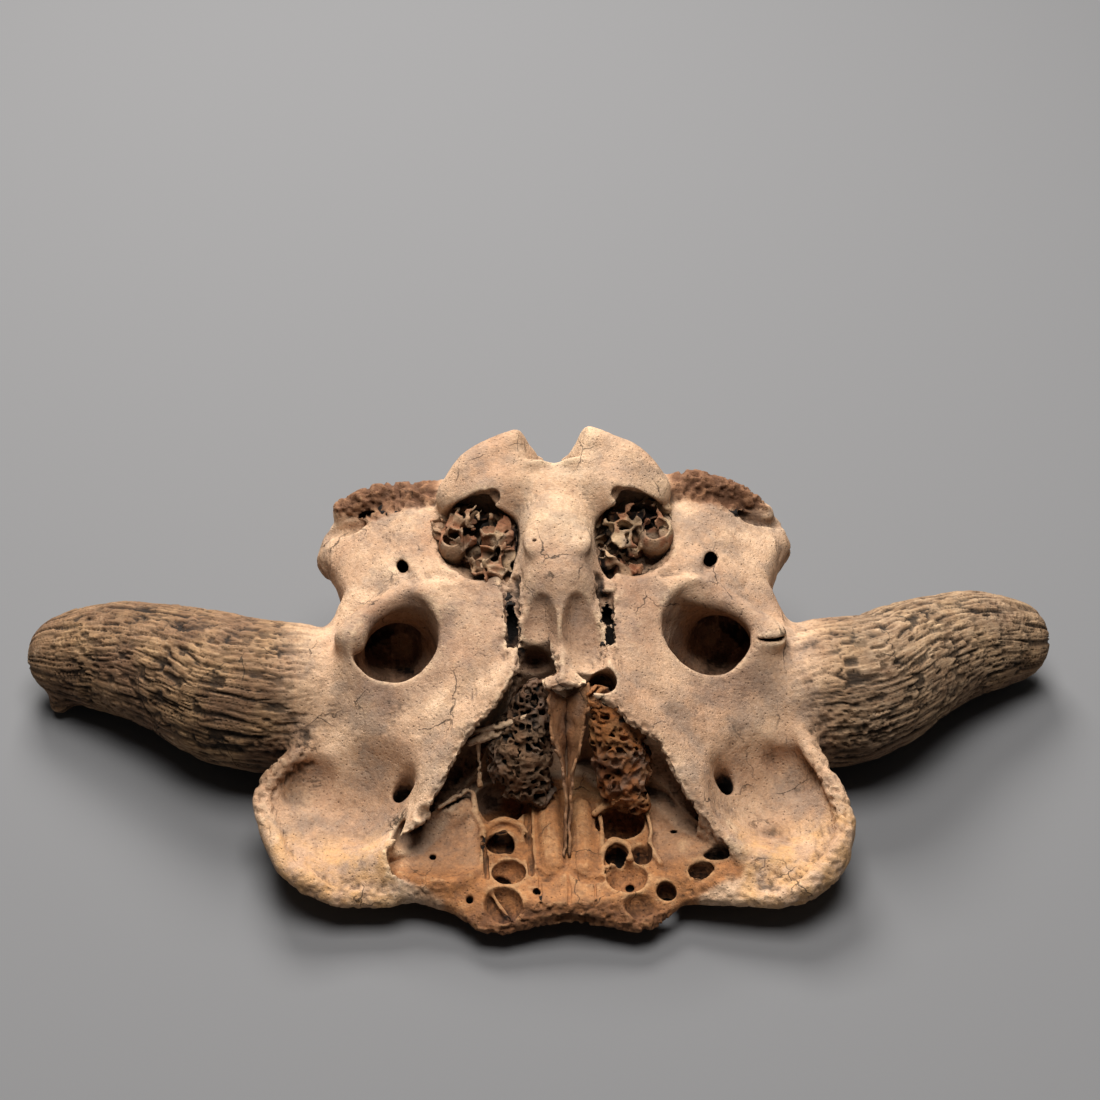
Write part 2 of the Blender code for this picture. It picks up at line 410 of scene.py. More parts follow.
class Foam(BrokenBone):
    """Broken honeycomb: thin walls between seeded cells."""

    swell = (0.9, 0.35)

    def sheets(self, p: Array) -> Array:
        """The distance from each point to the walls, which are bent a little."""
        bent = p + layered_noise(p, self.size * 1.3, self.seed + 5, 2)[:, None] * self.size * 0.25
        return cell_walls(bent, self.size, self.seed) * 0.5 - self.wall / 2


class Scrolls(BrokenBone):
    """Curled thin bone: the sheets where seeded noise passes through nought."""

    swell = (2.0, 0.8)

    def sheets(self, p: Array) -> Array:
        """The distance from each point to the curled sheets."""
        noise = lattice_noise(p, self.size, self.seed)
        noise = noise + 0.3 * lattice_noise(p, self.size * 0.45, self.seed + 1)
        return np.abs(noise) * self.size * 0.38 - self.wall / 2


@dataclass
class Prism:
    """An upright block whose plan is an outline of (y, u) points, between two heights."""

    outline: Sequence[tuple[float, float]]
    low: float
    high: float

    def reach(self) -> tuple[Array, Array]:
        """The box round the outline."""
        plan = np.array(self.outline, dtype=float)
        low = np.array([plan[:, 1].min(), plan[:, 0].min(), self.low])
        return low, np.array([plan[:, 1].max(), plan[:, 0].max(), self.high])

    def gap(self, x: Array, y: Array, z: Array) -> Array:
        """The distance to the block's walls or ends, whichever is nearer the outside."""
        plan = outline_gap(self.outline, x, y)
        return np.maximum(plan, np.maximum(z - self.high, self.low - z)).astype(np.float32)


def outline_gap(outline: Sequence[tuple[float, float]], x: Array, y: Array) -> Array:
    """The distance in plan to a closed outline of (y, u) points, negative inside.

    Args:
        outline: The corners, in order.
        x: Places across.
        y: Places to the back.

    Returns:
        The distance at each pair of places.
    """
    corners = np.array([(u, v) for v, u in outline], dtype=float)
    x, y = np.broadcast_arrays(x, y)
    gap = np.full(x.shape, 1e9)
    sign = np.ones(x.shape)
    for a, b in zip(corners, np.roll(corners, 1, axis=0)):
        e = b - a
        if not e.any():
            continue
        t = np.clip(((x - a[0]) * e[0] + (y - a[1]) * e[1]) / (e @ e), 0, 1)
        gap = np.minimum(gap, (x - a[0] - e[0] * t) ** 2 + (y - a[1] - e[1] * t) ** 2)
        above, below, left = y >= a[1], y < b[1], e[0] * (y - a[1]) > e[1] * (x - a[0])
        sign = np.where((above & below & left) | (~above & ~below & ~left), -sign, sign)
    return sign * np.sqrt(gap)


@dataclass
class Wedge:
    """The space above a V-shaped notch that runs front to back between two places."""

    bottom: Point
    slope: float
    length: float
    top: float

    def reach(self) -> tuple[Array, Array]:
        """The box round the notch."""
        half = (self.top - self.bottom[2]) / self.slope
        low = np.array([self.bottom[0] - half, self.bottom[1], self.bottom[2]])
        return low, np.array([self.bottom[0] + half, self.bottom[1] + self.length, self.top])

    def gap(self, x: Array, y: Array, z: Array) -> Array:
        """The distance to the notch's walls."""
        walls = (self.bottom[2] + np.abs(x - self.bottom[0]) * self.slope - z) / math.hypot(1, self.slope)
        return np.maximum(walls, self.bottom[1] - y).astype(np.float32)


class ThinPlateSkin:
    """A smooth sheet that passes close to landmarks, like a thin plate pressed on to pins."""

    def __init__(self, landmarks: Sequence[Point], slack: float) -> None:
        """Solves the sheet once for all places.

        Args:
            landmarks: The pins, as (u, y, z).
            slack: How loosely the sheet follows them.
        """
        pins = np.array(landmarks, dtype=float)
        self.at = pins[:, :2]
        count = len(pins)
        system = np.zeros((count + 3, count + 3))
        system[:count, :count] = self.kernel(((self.at[:, None] - self.at[None]) ** 2).sum(-1))
        system[:count, :count] += np.eye(count) * slack
        system[:count, count] = system[count, :count] = 1
        system[:count, count + 1:] = self.at
        system[count + 1:, :count] = self.at.T
        self.weights = np.linalg.solve(system, np.concatenate([pins[:, 2], np.zeros(3)]))

    @staticmethod
    def kernel(squared: Array) -> Array:
        """How a pin's pull falls off with the squared distance."""
        return 0.5 * squared * np.log(np.maximum(squared, 1e-9))

    def height(self, x: Array, y: Array) -> Array:
        """The sheet's height at each place in plan."""
        count = len(self.at)
        out = self.weights[count] + self.weights[count + 1] * x + self.weights[count + 2] * y
        for pin, weight in zip(self.at, self.weights):
            out = out + weight * self.kernel((x - pin[0]) ** 2 + (y - pin[1]) ** 2)
        return out


def mirrored(points: Sequence[Sequence[float]]) -> list[tuple[float, ...]]:
    """The points and, for those off the midline, their twins on the other side."""
    twins = [(-p[0], *p[1:]) for p in points if p[0] != 0]
    return [tuple(p) for p in points] + twins


@dataclass
class Braincase:
    """The body of the skull between its lower and its upper skin, trimmed to the outline seen from above."""

    slack: float = 60.0
    edge_round: float = 8.0

    def __post_init__(self) -> None:
        """Solves both skins."""
        pins = mirrored(VENTRAL_SKIN) + list(DISH_LEFT + DISH_RIGHT + ORBIT_RIM_LEFT + ORBIT_RIM_RIGHT)
        self.ventral = ThinPlateSkin(pins, self.slack)
        self.dorsal = ThinPlateSkin(mirrored(DORSAL_SKIN), 200.0)
        self.plan = tuple(PLAN_LEFT) + tuple(reversed(PLAN_RIGHT[1:-1]))

    def reach(self) -> tuple[Array, Array]:
        """The whole cranium's box."""
        return np.array([-178.0, -138.0, -2.0]), np.array([166.0, 132.0, 150.0])

    def gap(self, x: Array, y: Array, z: Array) -> Array:
        """The distance to the nearest of the two skins and the outline."""
        top = self.ventral.height(x, y).astype(np.float32)
        bottom = self.dorsal.height(x, y).astype(np.float32)
        side = outline_gap(self.plan, x, y).astype(np.float32)
        slab = soft_max(((z - top) * 0.85).astype(np.float32), ((bottom - z) * 0.9).astype(np.float32), 8.0)
        return soft_max(slab, side, self.edge_round)


@dataclass
class Undercut:
    """The hollow beneath a broken edge: wider than the opening in plan, and covered by a thin lid of bone."""

    outline: Sequence[tuple[float, float]]
    spread: float
    lid: float
    floor: float
    skin: Braincase

    def reach(self) -> tuple[Array, Array]:
        """The box round the widened outline."""
        plan = np.array(self.outline, dtype=float)
        low = np.array([plan[:, 1].min() - self.spread, plan[:, 0].min() - self.spread, self.floor])
        return low, np.array([plan[:, 1].max() + self.spread, plan[:, 0].max() + self.spread, 120.0])

    def gap(self, x: Array, y: Array, z: Array) -> Array:
        """The distance to the hollow's walls, roof or floor."""
        plan = outline_gap(self.outline, x, y) - self.spread
        roof = (z - self.skin.ventral.height(x, y) + self.lid) * 0.8
        return np.maximum(plan, np.maximum(roof, self.floor - z)).astype(np.float32)


@dataclass
class Stroke:
    """One step of the sculpting: a shape, what it does, and how softly it blends."""

    act: Act
    shape: Shape
    soft: float = 2.0


class ClayBlock:
    """A box of space that holds the distance to the bone's surface on a regular grid."""

    def __init__(self, low: Point, high: Point, pitch: float) -> None:
        """Makes an empty block.

        Args:
            low: Its lowest corner, in millimetres.
            high: Its highest corner.
            pitch: The grid's spacing.
        """
        self.low = np.array(low, dtype=float)
        self.pitch = pitch
        self.count = np.ceil((np.array(high) - self.low) / pitch).astype(int) + 1
        self.field = np.full(self.count, FAR, dtype=np.float32)

    def places(self, start: Array, stop: Array) -> tuple[Array, Array, Array]:
        """The coordinates of a window of the grid, each along its own direction."""
        axes = [
            (self.low[k] + self.pitch * np.arange(start[k], stop[k])).astype(np.float32) for k in range(3)
        ]
        return axes[0][:, None, None], axes[1][None, :, None], axes[2][None, None, :]

    def window(self, shape: Shape, margin: float) -> tuple[Array, Array] | None:
        """The grid indices that a shape can touch, or None where it misses the block."""
        low, high = shape.reach()
        start = np.maximum(np.floor((low - margin - self.low) / self.pitch).astype(int), 0)
        stop = np.minimum(np.ceil((high + margin - self.low) / self.pitch).astype(int) + 1, self.count)
        return (start, stop) if (stop > start).all() else None

    def apply(self, stroke: Stroke) -> None:
        """Adds or cuts one shape."""
        found = self.window(stroke.shape, stroke.soft + 3.0 * self.pitch + 2.0)
        if found is None:
            return
        start, stop = found
        part = tuple(slice(a, b) for a, b in zip(start, stop))
        gap = stroke.shape.gap(*self.places(start, stop))
        if stroke.act is Act.ADD:
            self.field[part] = soft_min(self.field[part], gap, stroke.soft)
        else:
            self.field[part] = soft_max(self.field[part], -gap, stroke.soft)

    def surface(self) -> tuple[Array, Array]:
        """Meshes the bone's surface.

        Returns:
            The points in millimetres, one row each, and the four-sided faces, turned outwards.
        """
        grid = openvdb.FloatGrid(FAR)
        grid.copyFromArray(np.ascontiguousarray(np.clip(self.field, -FAR, FAR)), tolerance=0.0)
        points, _, quads = grid.convertToPolygons(0.0, 0.0)
        return points * self.pitch + self.low, quads.astype(np.int32)


@dataclass
class CavityMap:
    """How much bone stands round each place: little at thin edges, much deep in a hollow."""

    low: Point = (-312.0, -142.0, -6.0)
    high: Point = (302.0, 142.0, 176.0)
    pitch: float = 2.0

    def measure(self, strokes: Sequence[Stroke]) -> None:
        """Sculpts a coarse copy and notes which of its cells are bone.

        Args:
            strokes: The sculpting steps of every piece.
        """
        block = ClayBlock(self.low, self.high, self.pitch)
        for stroke in strokes:
            block.apply(stroke)
        self.solid = np.pad(block.field < 0.0, 1)

    def cells(self, p: Array) -> Array:
        """Where points lie in the padded grid, half a cell on, so that cutting the fraction off rounds."""
        return (p - np.array(self.low)) / self.pitch + 1.5

    def is_bone(self, cells: Array) -> Array:
        """Whether there is bone at each place of the padded grid."""
        at = np.clip(cells.astype(np.int32), 0, np.array(self.solid.shape) - 1)
        return self.solid[at[:, 0], at[:, 1], at[:, 2]]

    def openness(self, p: Array, outward: Array, reach: float, directions: int = 32) -> Array:
        """How much of the space before each point is open air.

        Args:
            p: Points in millimetres.
            outward: The outward direction at each.
            reach: How far each look goes, in millimetres.
            directions: How many looks are spread over the whole sphere.

        Returns:
            1 on an edge that stands free, near 0 deep in a hollow.
        """
        free = np.zeros(len(p))
        weight = np.zeros(len(p))
        start = self.cells(p + outward * 1.5)
        for way in sphere_directions(directions):
            share = np.maximum(outward @ way + 0.15, 0.0)
            clear = np.ones(len(p), dtype=bool)
            for step in (0.09, 0.18, 0.3, 0.45, 0.6, 0.8, 1.0):
                clear &= ~self.is_bone(start + way * (step * reach / self.pitch))
            free += clear * share
            weight += share
        return free / np.maximum(weight, 1e-6)

    def buried(self, p: Array, radius: float = 4.0, directions: int = 30) -> Array:
        """How much bone stands right round each point.

        Args:
            p: Points in millimetres.
            radius: How far from each point the bone is looked for, in millimetres.
            directions: How many looks are spread over the sphere.

        Returns:
            About 0.5 on a plain surface, less on a ridge or an edge, more in a crease.
        """
        total = np.zeros(len(p))
        start = self.cells(p)
        for number, way in enumerate(sphere_directions(directions)):
            reach = radius * (0.75 if number % 2 else 1.1)
            total += self.is_bone(start + way * (reach / self.pitch))
        return total / directions


def skull_strokes() -> list[Stroke]:
    """The sculpting steps of the solid bone, in order.

    Returns:
        Steps that every block of the skull shares, so that neighbouring pieces meet.
    """
    body = Braincase()
    steps = [Stroke(Act.ADD, body, 0.0)]
    steps += skull_base_strokes()
    steps += cheek_strokes()
    steps += nose_strokes(body)
    steps += ear_strokes()
    steps += horn_strokes()
    steps += tunnel_strokes()
    return steps


def on_both_sides(make: Callable[[int], list[Stroke]]) -> list[Stroke]:
    """The steps that a function gives for the left and for the right side."""
    return make(Side.LEFT.value) + make(Side.RIGHT.value)


def rod(*stations: Station) -> Limb:
    """A rounded rod through the given stations."""
    return Limb(stations)


def add(shape: Shape, soft: float = 2.0) -> Stroke:
    """A step that puts bone on."""
    return Stroke(Act.ADD, shape, soft)


def cut(shape: Shape, soft: float = 1.5) -> Stroke:
    """A step that takes bone away."""
    return Stroke(Act.CUT, shape, soft)


def skull_base_strokes() -> list[Stroke]:
    """The condyles, the column of the skull base with its keel, and the opening for the spinal cord."""
    column = (
        (0, 104, 125, 25), (0, 90, 125, 24), (0, 76, 126, 23), (0, 56, 122, 22), (0, 40, 118, 21),
        (0, 26, 112, 17), (0, 16, 108, 14),
    )
    steps = [add(Limb(column), 10.0)]

    def condyle(s: int) -> list[Stroke]:
        """One condyle, the recess below it and the tubercle before it."""
        lip = rod(
            (s * 18, 120, 157.5, 8), (s * 33, 115, 152, 10), (s * 47, 108, 145, 11.5), (s * 56, 100, 134, 12),
        )
        return [
            add(Lump((s * 34, 98, 132), (30, 22, 22), (10, s * 20, s * -14)), 8.0),
            add(lip, 7.0),
            cut(rod((s * 36, 84, 146, 4), (s * 44, 84, 141, 6.5), (s * 52, 84, 134, 7)), 1.5),
            cut(rod((s * 40, 92, 138, 5), (s * 50, 90, 130, 7)), 1.5),
            add(Lump((s * 13, 52, 138), (6, 9, 3.6)), 6.0),
            cut(rod((s * 13, 49, 146, 0.9), (s * 13, 51, 140, 0.8)), 0.8),
        ]

    keel = rod((0, 26, 124, 8), (0, 15, 116, 4), (0, 8, 111.5, 2.2), (0, -2, 108, 1.3), (0, -28, 102.5, 1.3))
    nape = rod(
        (-118, 122, 84, 4), (-84, 124, 52, 5), (-40, 124, 38, 5),
        (40, 124, 38, 5), (84, 124, 52, 5), (118, 122, 84, 4),
    )
    steps += on_both_sides(condyle)
    steps += [
        add(rod((-10, 112, 148, 11), (-26, 110, 146, 12)), 5.0),
        add(rod((10, 112, 148, 11), (26, 110, 146, 12)), 5.0),
        add(rod((0, 96, 126, 24), (0, 110, 125, 24)), 5.0),
        cut(Wedge((0, 106, 125.5), 1.9, 80, 190), 3.0),
        cut(Lump((-14, -5, 118), (12.5, 29, 16), (16, 0, -6)), 2.0),
        cut(Lump((14, -5, 118), (13, 29, 16), (16, 0, 6)), 2.0),
        cut(Lump((-7, -22, 117), (11, 22, 14)), 3.0),
        cut(Lump((8, -24, 117), (11, 22, 14)), 3.0),
        add(keel, 2.0),
        add(rod((0, 128, 84, 3), (0, 130, 62, 5), (0, 127, 44, 8), (0, 120, 30, 9)), 12.0),
        add(nape, 9.0),
        add(Lump((-23, 120, 136), (13, 13, 20), (0, -16, 0)), 6.0),
        add(Lump((23, 120, 136), (13, 13, 20), (0, 16, 0)), 6.0),
        cut(Lump((-42, 138, 78), (26, 14, 22)), 8.0),
        cut(Lump((42, 138, 78), (26, 14, 22)), 8.0),
        cut(rod((0, 152, 114, 20), (0, 124, 112, 19), (0, 100, 102, 22), (0, 78, 92, 24)), 4.0),
    ]
    return steps


def cheek_strokes() -> list[Stroke]:
    """The cheek stumps, the canals through the brow, and the dishes and rims of the orbits."""

    def side(s: int) -> list[Stroke]:
        """One canal through the brow and one cheek stump."""
        return [
            cut(rod((s * 88, -54, 84, 5.5), (s * 89, -50, 55, 5.5), (s * 90, -44, -12, 6)), 4.0),
            add(rod((s * 60, 50, 106, 10), (s * 78, 46, 104, 9)), 8.0),
        ]

    steps = on_both_sides(side)
    steps += [
        cut(rod((-29, 2, 114, 5), (-43, -12, 106.5, 6), (-59, -26, 94.5, 6), (-77, -44, 78.5, 5)), 7.0),
        cut(rod((30, 0, 114, 5), (42, -20, 105.5, 6), (58, -34, 93.5, 6), (77, -48, 78.5, 5)), 7.0),
        cut(Lump((-122, -66, 76), (44, 40, 48)), 5.0),
        cut(Lump((116, -72, 76), (40, 42, 48)), 5.0),
        cut(Lump((-142, -46, 50), (19, 15, 17), (0, 0, 35)), 4.0),
        cut(Lump((128, -48, 52), (18, 15, 17), (0, 0, -35)), 4.0),
    ]
    for rim, s in ((ORBIT_RIM_LEFT, -1), (ORBIT_RIM_RIGHT, 1)):
        inner = [(u - s * 4.0, y + (4.0 if y < -95 else 0.0), z - 1.5, 4.6) for u, y, z in rim]
        steps.append(add(Limb(inner), 4.0))
    return steps


def tunnel_strokes() -> list[Stroke]:
    """The tunnels from behind the orbits, under the cheek bars and out below the mastoids."""

    def side(s: int) -> list[Stroke]:
        """One tunnel, whose mouth is further out on the left."""
        mouth = -93 if s < 0 else 84
        down = rod((mouth, 16, 122, 27), (mouth + s, 20, 92, 25), (s * 92, 36, 66, 21), (s * 96, 54, 56, 16))
        out = rod((s * 96, 54, 56, 15), (s * 114, 74, 64, 12), (s * 134, 86, 68, 11), (s * 172, 98, 72, 13))
        return [cut(down, 3.0), cut(Lump((mouth, 22, 62), (21, 22, 32)), 6.0), cut(out, 4.0)]

    return on_both_sides(side) + [
        add(rod((-76, 50, 104, 7), (-100, 42, 101, 6), (-113, 30, 99, 7), (-119, 20, 97, 9)), 5.0),
        add(rod((76, 46, 104, 7), (102, 36, 100, 6), (114, 24, 98, 7), (120, 15, 96, 9)), 5.0),
        cut(Lump((121, 7, 100), (10, 10, 1.5), (-25, 0, 0)), 0.8),
    ]


def nose_strokes(body: Braincase) -> list[Stroke]:
    """The broken-open nose: its triangular cavity, its walls, its floor's plates and channels, and cells."""
    behind = [spot for spot in NOSE_OUTLINE if spot[0] > -74]
    steps = [
        cut(Prism(NOSE_OUTLINE, SINUS_FLOOR, 150.0), 1.0),
        cut(Undercut(behind, 9.0, 6.0, SINUS_FLOOR + 1.0, body), 1.5),
        cut(rod((-75, -82, 56, 3), (-79, -76, 55, 4)), 2.0),
    ]
    steps += nose_wall_strokes()
    steps += nose_left_strokes()
    steps += nose_right_strokes()
    steps += nose_middle_strokes()
    return steps


def nose_wall_strokes() -> list[Stroke]:
    """The hollows under the nose's edges, which leave only a thin sheet of bone there."""
    return [
        cut(rod((-52, -28, 58, 11), (-64, -36, 42, 13), (-78, -54, 36, 9), (-90, -76, 33, 4))),
        cut(rod((50, -44, 58, 10), (60, -50, 46, 13), (74, -60, 38, 7), (90, -78, 35, 3))),
        cut(rod((-13, -8, 120, 6), (-15, -4, 104, 8), (-15, 2, 90, 10)), 1.0),
        cut(rod((22, -26, 112, 8), (22, -23, 98, 8), (22, -14, 84, 8)), 1.0),
        cut(rod((0, -26, 84, 13), (0, -8, 84, 11)), 1.0),
    ]


def nose_left_strokes() -> list[Stroke]:
    """The left half of the nose's floor: the curved plate, the big hollow, the ringed hole and the bowls."""
    wall = rod(
        (-51, -56, 33, 1.6), (-46, -66, 30, 1.7), (-46, -80, 28, 2), (-48, -92, 27, 2), (-53, -100, 27, 3),
    )
    ring = rod(
        (-47, -70, 28, 2), (-41, -62, 29, 2.2), (-33, -60, 30, 2.4), (-25, -64, 29, 2.2), (-20, -72, 28, 2),
    )
    return [
        add(rod((-72, -62, 32, 7), (-62, -56, 31, 7), (-54, -50, 29, 6), (-50, -60, 26, 5)), 6.0),
        cut(Lump((-72, -80, 37), (24, 20, 10)), 4.0),
        add(rod((-70, -60, 42, 1.4), (-61, -52, 41, 1.4), (-52, -44, 38, 1.6), (-50, -56, 33, 1.6)), 1.0),
        add(wall, 1.5),
        add(rod((-54, -100, 27, 4), (-66, -103, 27, 4), (-80, -101, 27, 3.5), (-92, -97, 27, 3)), 3.0),
        cut(Lump((-36, -45, 27), (15, 16, 18)), 1.2),
        add(ring, 2.0),
        cut(rod((-36, -75, 36, 7.5), (-36, -74, 22, 8), (-34, -66, 19, 8)), 1.2),
        cut(Lump((-25, -80, 31), (9, 9, 7)), 2.0),
        add(rod((-45, -83, 27, 1.6), (-37, -87, 27, 1.6), (-28, -88, 27, 2)), 1.5),
        cut(Lump((-32, -96, 26), (9.5, 8.5, 8)), 1.2),
        cut(Lump((-36, -97, 18), (5.5, 5, 10)), 1.0),
        cut(rod((-46, -72, 29, 1.3), (-45, -86, 27, 1.5), (-44, -100, 27, 1.3)), 0.8),
        cut(Lump((-36, -117, 26), (10.5, 10.5, 10)), 1.2),
        add(rod((-42, -108, 25, 1.2), (-37, -115, 20, 1.2), (-29, -126, 20, 1.2)), 1.5),
        cut(rod((-54, -113, 32, 2.2), (-54, -110, 14, 2.2)), 0.5),
        cut(rod((-17, -111, 34, 1.8), (-17, -108, 14, 1.8)), 0.5),
        cut(rod((-74, -84, 36, 2.2), (-74, -81, 16, 2.4)), 0.6),
        add(rod((-50, -32, 74, 1.3), (-36, -32, 77, 1.3), (-20, -30, 82, 1.5)), 1.5),
        add(rod((-52, -37, 70, 2.4), (-43, -34, 71, 2.8), (-34, -32, 72, 2.2)), 1.5),
        add(rod((-47.5, -33, 64, 1.8), (-47, -38, 54, 1.3), (-47, -43, 42, 2.2)), 1.0),
    ]


def nose_right_strokes() -> list[Stroke]:
    """The right half of the nose's floor: the holed plate, the black hollow, the oval hole and the bowls."""
    ring = rod(
        (20, -86, 29, 1.8), (27, -77, 30, 1.8), (36, -84, 30, 1.8), (33, -94, 29, 1.8), (22, -96, 28, 1.8),
    )
    return [
        add(Lump((84, -94, 22), (30, 20, 11), (0, 0, -22)), 5.0),
        add(Lump((62, -82, 22), (18, 16, 9)), 5.0),
        cut(Lump((31, -62, 27), (14, 12, 18)), 1.2),
        add(rod((17, -58, 31, 1.5), (24, -55, 35, 1.9), (33, -55, 36, 2.1), (46, -57, 34, 1.8)), 1.5),
        add(rod((46, -57, 34, 1.6), (48, -70, 31, 1.5), (47, -82, 30, 1.7), (52, -94, 29, 2)), 1.5),
        add(ring, 1.5),
        cut(rod((28, -87, 38, 6), (28, -85, 18, 7)), 1.0),
        cut(Lump((42, -86, 28), (6, 7, 12)), 1.2),
        cut(Lump((33, -102, 28), (11.5, 10.5, 9)), 1.2),
        cut(rod((34, -104, 24, 2), (35, -102, 16, 2.6)), 0.8),
        cut(Lump((40, -120, 26), (10, 7, 8)), 1.2),
        cut(rod((54, -112, 34, 5), (54, -108, 15, 5.5)), 1.0),
        cut(rod((61, -72, 38, 1.8), (61, -70, 12, 2.4)), 0.5),
        cut(Lump((84, -91, 30), (8.5, 4.5, 12)), 0.8),
        cut(Lump((74, -100, 28), (7.5, 5, 10)), 0.8),
    ]


def nose_middle_strokes() -> list[Stroke]:
    """The two smooth channels beside the septum, the block before them and the ragged front edge."""
    chewed = rod(
        (-32, -133, 17, 2.5), (-14, -127, 19, 3), (4, -123, 18, 3.5), (24, -131, 18, 3), (46, -136, 14, 2.5),
    )
    chipped = rod(
        (-30, -128, 27, 1.6), (-18, -124, 26, 1.6), (-4, -123, 25, 2),
        (12, -127, 26, 1.6), (30, -131, 22, 1.8),
    )
    left_edge = rod(
        (-16, -44, 28.5, 1.5), (-18.5, -60, 28, 1.4), (-17.5, -80, 27.5, 1.4), (-16, -97, 27, 1.2),
    )
    return [
        add(rod((-8, -36, 26, 7), (-8.5, -60, 25.5, 7), (-8, -90, 24, 7.5)), 1.5),
        add(rod((9.5, -50, 25, 7), (10, -70, 24.5, 7), (9.5, -94, 23.5, 7.5)), 1.5),
        add(left_edge, 1.5),
        add(rod((19, -50, 28.5, 1.5), (21.5, -68, 28, 1.4), (20, -86, 27.5, 1.4), (20, -101, 27, 1.2)), 1.5),
        cut(rod((-16, -96, 28.5, 2), (-12, -101, 28.5, 2.6), (-6, -100, 29, 2.6), (0, -94, 29.5, 2.4)), 0.5),
        cut(rod((0, -94, 29.5, 2), (6, -101, 29, 2.5), (12, -104, 28.5, 2.5), (19, -103, 28, 2)), 0.5),
        cut(rod((-20, -46, 28, 2.4), (-20.5, -70, 27.5, 2.4), (-19.5, -98, 27, 1.8)), 0.5),
        cut(rod((23, -52, 28, 2.2), (23.5, -70, 27.5, 2.2), (22, -98, 27, 1.8)), 0.5),
        cut(rod((1, -46, 29, 2), (0.8, -66, 29, 2), (0, -94, 28.5, 1.8)), 0.8),
        cut(rod((0, -96, 28, 0.9), (1, -110, 27.5, 0.9), (0, -124, 27, 1.2)), 0.6),
        cut(rod((-15, -99, 27.6, 0.7), (-15, -122, 26.6, 0.8)), 0.5),
        cut(rod((15, -101, 27.6, 0.7), (15, -124, 26.6, 0.8)), 0.5),
        cut(chewed, 2.0),
        cut(chipped, 1.0),
    ]


def ear_strokes() -> list[Stroke]:
    """The pits of the broken ear bones, the foramina beside the column and the slots of the mastoids."""

    def side(s: int) -> list[Stroke]:
        """One ear pit with the gap beside the column, the small foramen behind it and the mastoid's slots."""
        gap = rod((s * 31, 44, 121, 3), (s * 28, 32, 117, 3.5), (s * 26, 18, 111, 4.5), (s * 27, 2, 104, 4))
        foramen = rod((s * 85, 53, 115, 3), (s * 88, 60, 112, 3), (s * 89, 68, 108, 4), (s * 90, 74, 100, 4))
        return [
            cut(Lump((s * 45, 72, 124), (23, 27, 20), (0, 0, s * -14)), 4.0),
            cut(Lump((s * 29, 56, 116), (5, 13, 18)), 2.0),
            cut(rod((s * 25, 39, 121, 3), (s * 26, 31, 118, 4), (s * 26, 24, 113, 3.5)), 1.5),
            cut(gap, 1.0),
            cut(rod((s * 29, 36, 108, 5), (s * 27, 20, 100, 7), (s * 27, 2, 92, 9)), 1.0),
            cut(foramen, 3.0),
            cut(rod((s * 84, 52, 117, 4), (s * 72, 50, 119, 3), (s * 60, 47, 118, 2)), 4.0),
            cut(rod((s * 113, 103, 108, 4), (s * 122, 105, 105, 5), (s * 134, 108, 100, 4.5)), 2.0),
        ]

    crest = rod(
        (66, 110, 123, 6), (80, 117, 124, 7.5), (96, 118, 121, 7), (112, 116, 113, 7), (124, 112, 104, 6),
    )
    return on_both_sides(side) + [
        add(rod((-66, 110, 122, 5), (-84, 117, 121, 6), (-104, 121, 118, 6), (-124, 119, 108, 7)), 6.0),
        add(crest, 6.0),
        cut(rod((-62, 90, 118, 2.5), (-78, 97, 115, 4), (-96, 106, 113, 4), (-112, 113, 108, 3)), 2.0),
        cut(rod((62, 92, 119, 2.5), (78, 100, 117, 4), (96, 104, 112, 4), (112, 104, 107, 3)), 2.0),
        add(Lump((28, 36, 117), (4.5, 6, 4)), 2.0),
    ]


def horn_strokes() -> list[Stroke]:
    """The two horn cores with their roots."""
    return [
        Stroke(Act.ADD, Limb(HORN_CORE_LEFT, 5), 10.0),
        Stroke(Act.ADD, Limb(HORN_CORE_RIGHT, 5), 10.0),
        Stroke(Act.ADD, Limb(((-290, 68, 20, 11), (-297, 62, 10, 7))), 8.0),
    ]


@dataclass
class Region:
    """A box of the skull that is meshed as one piece, with the sides that touch a neighbour open."""

    name: str
    low: Point
    high: Point
    pitch: float

    def sculpt(self, strokes: Sequence[Stroke], ground: float = 0.0) -> tuple[Array, Array]:
        """Sculpts the region and tucks its open sides under the neighbours.

        Args:
            strokes: The sculpting steps.
            ground: The height that the bone stands on.

        Returns:
            The mesh's points in millimetres and its faces.
        """
        lap = 4.0
        block = ClayBlock(np.array(self.low) - lap - 2, np.array(self.high) + lap + 2, self.pitch)
        for stroke in strokes:
            block.apply(stroke)
        spots = block.places(np.zeros(3, int), block.count)
        for axis in range(3):
            for past in (self.low[axis] - spots[axis], spots[axis] - self.high[axis]):
                block.field += 0.08 * np.maximum(past, 0.0) ** 2
                np.maximum(block.field, past - lap, out=block.field)
        np.maximum(block.field, ground - spots[2], out=block.field)
        return block.surface()


def new_mesh(name: str, points: Array, faces: Array) -> bpy.types.Object:
    """Makes an object from points in millimetres and four-sided faces, in the frame's metres."""
    mesh = bpy.data.meshes.new(name)
    mesh.vertices.add(len(points))
    moved = (points + np.array([MIDLINE, 0.0, 0.0])) * METRE
    mesh.vertices.foreach_set("co", moved.ravel().astype(np.float32))
    mesh.loops.add(faces.size)
    mesh.loops.foreach_set("vertex_index", faces.ravel().astype(np.int32))
    mesh.polygons.add(len(faces))
    mesh.polygons.foreach_set("loop_start", np.arange(0, faces.size, 4, dtype=np.int32))
    mesh.update(calc_edges=True)
    mesh.shade_smooth()
    thing = bpy.data.objects.new(name, mesh)
    bpy.context.scene.collection.objects.link(thing)
    return thing


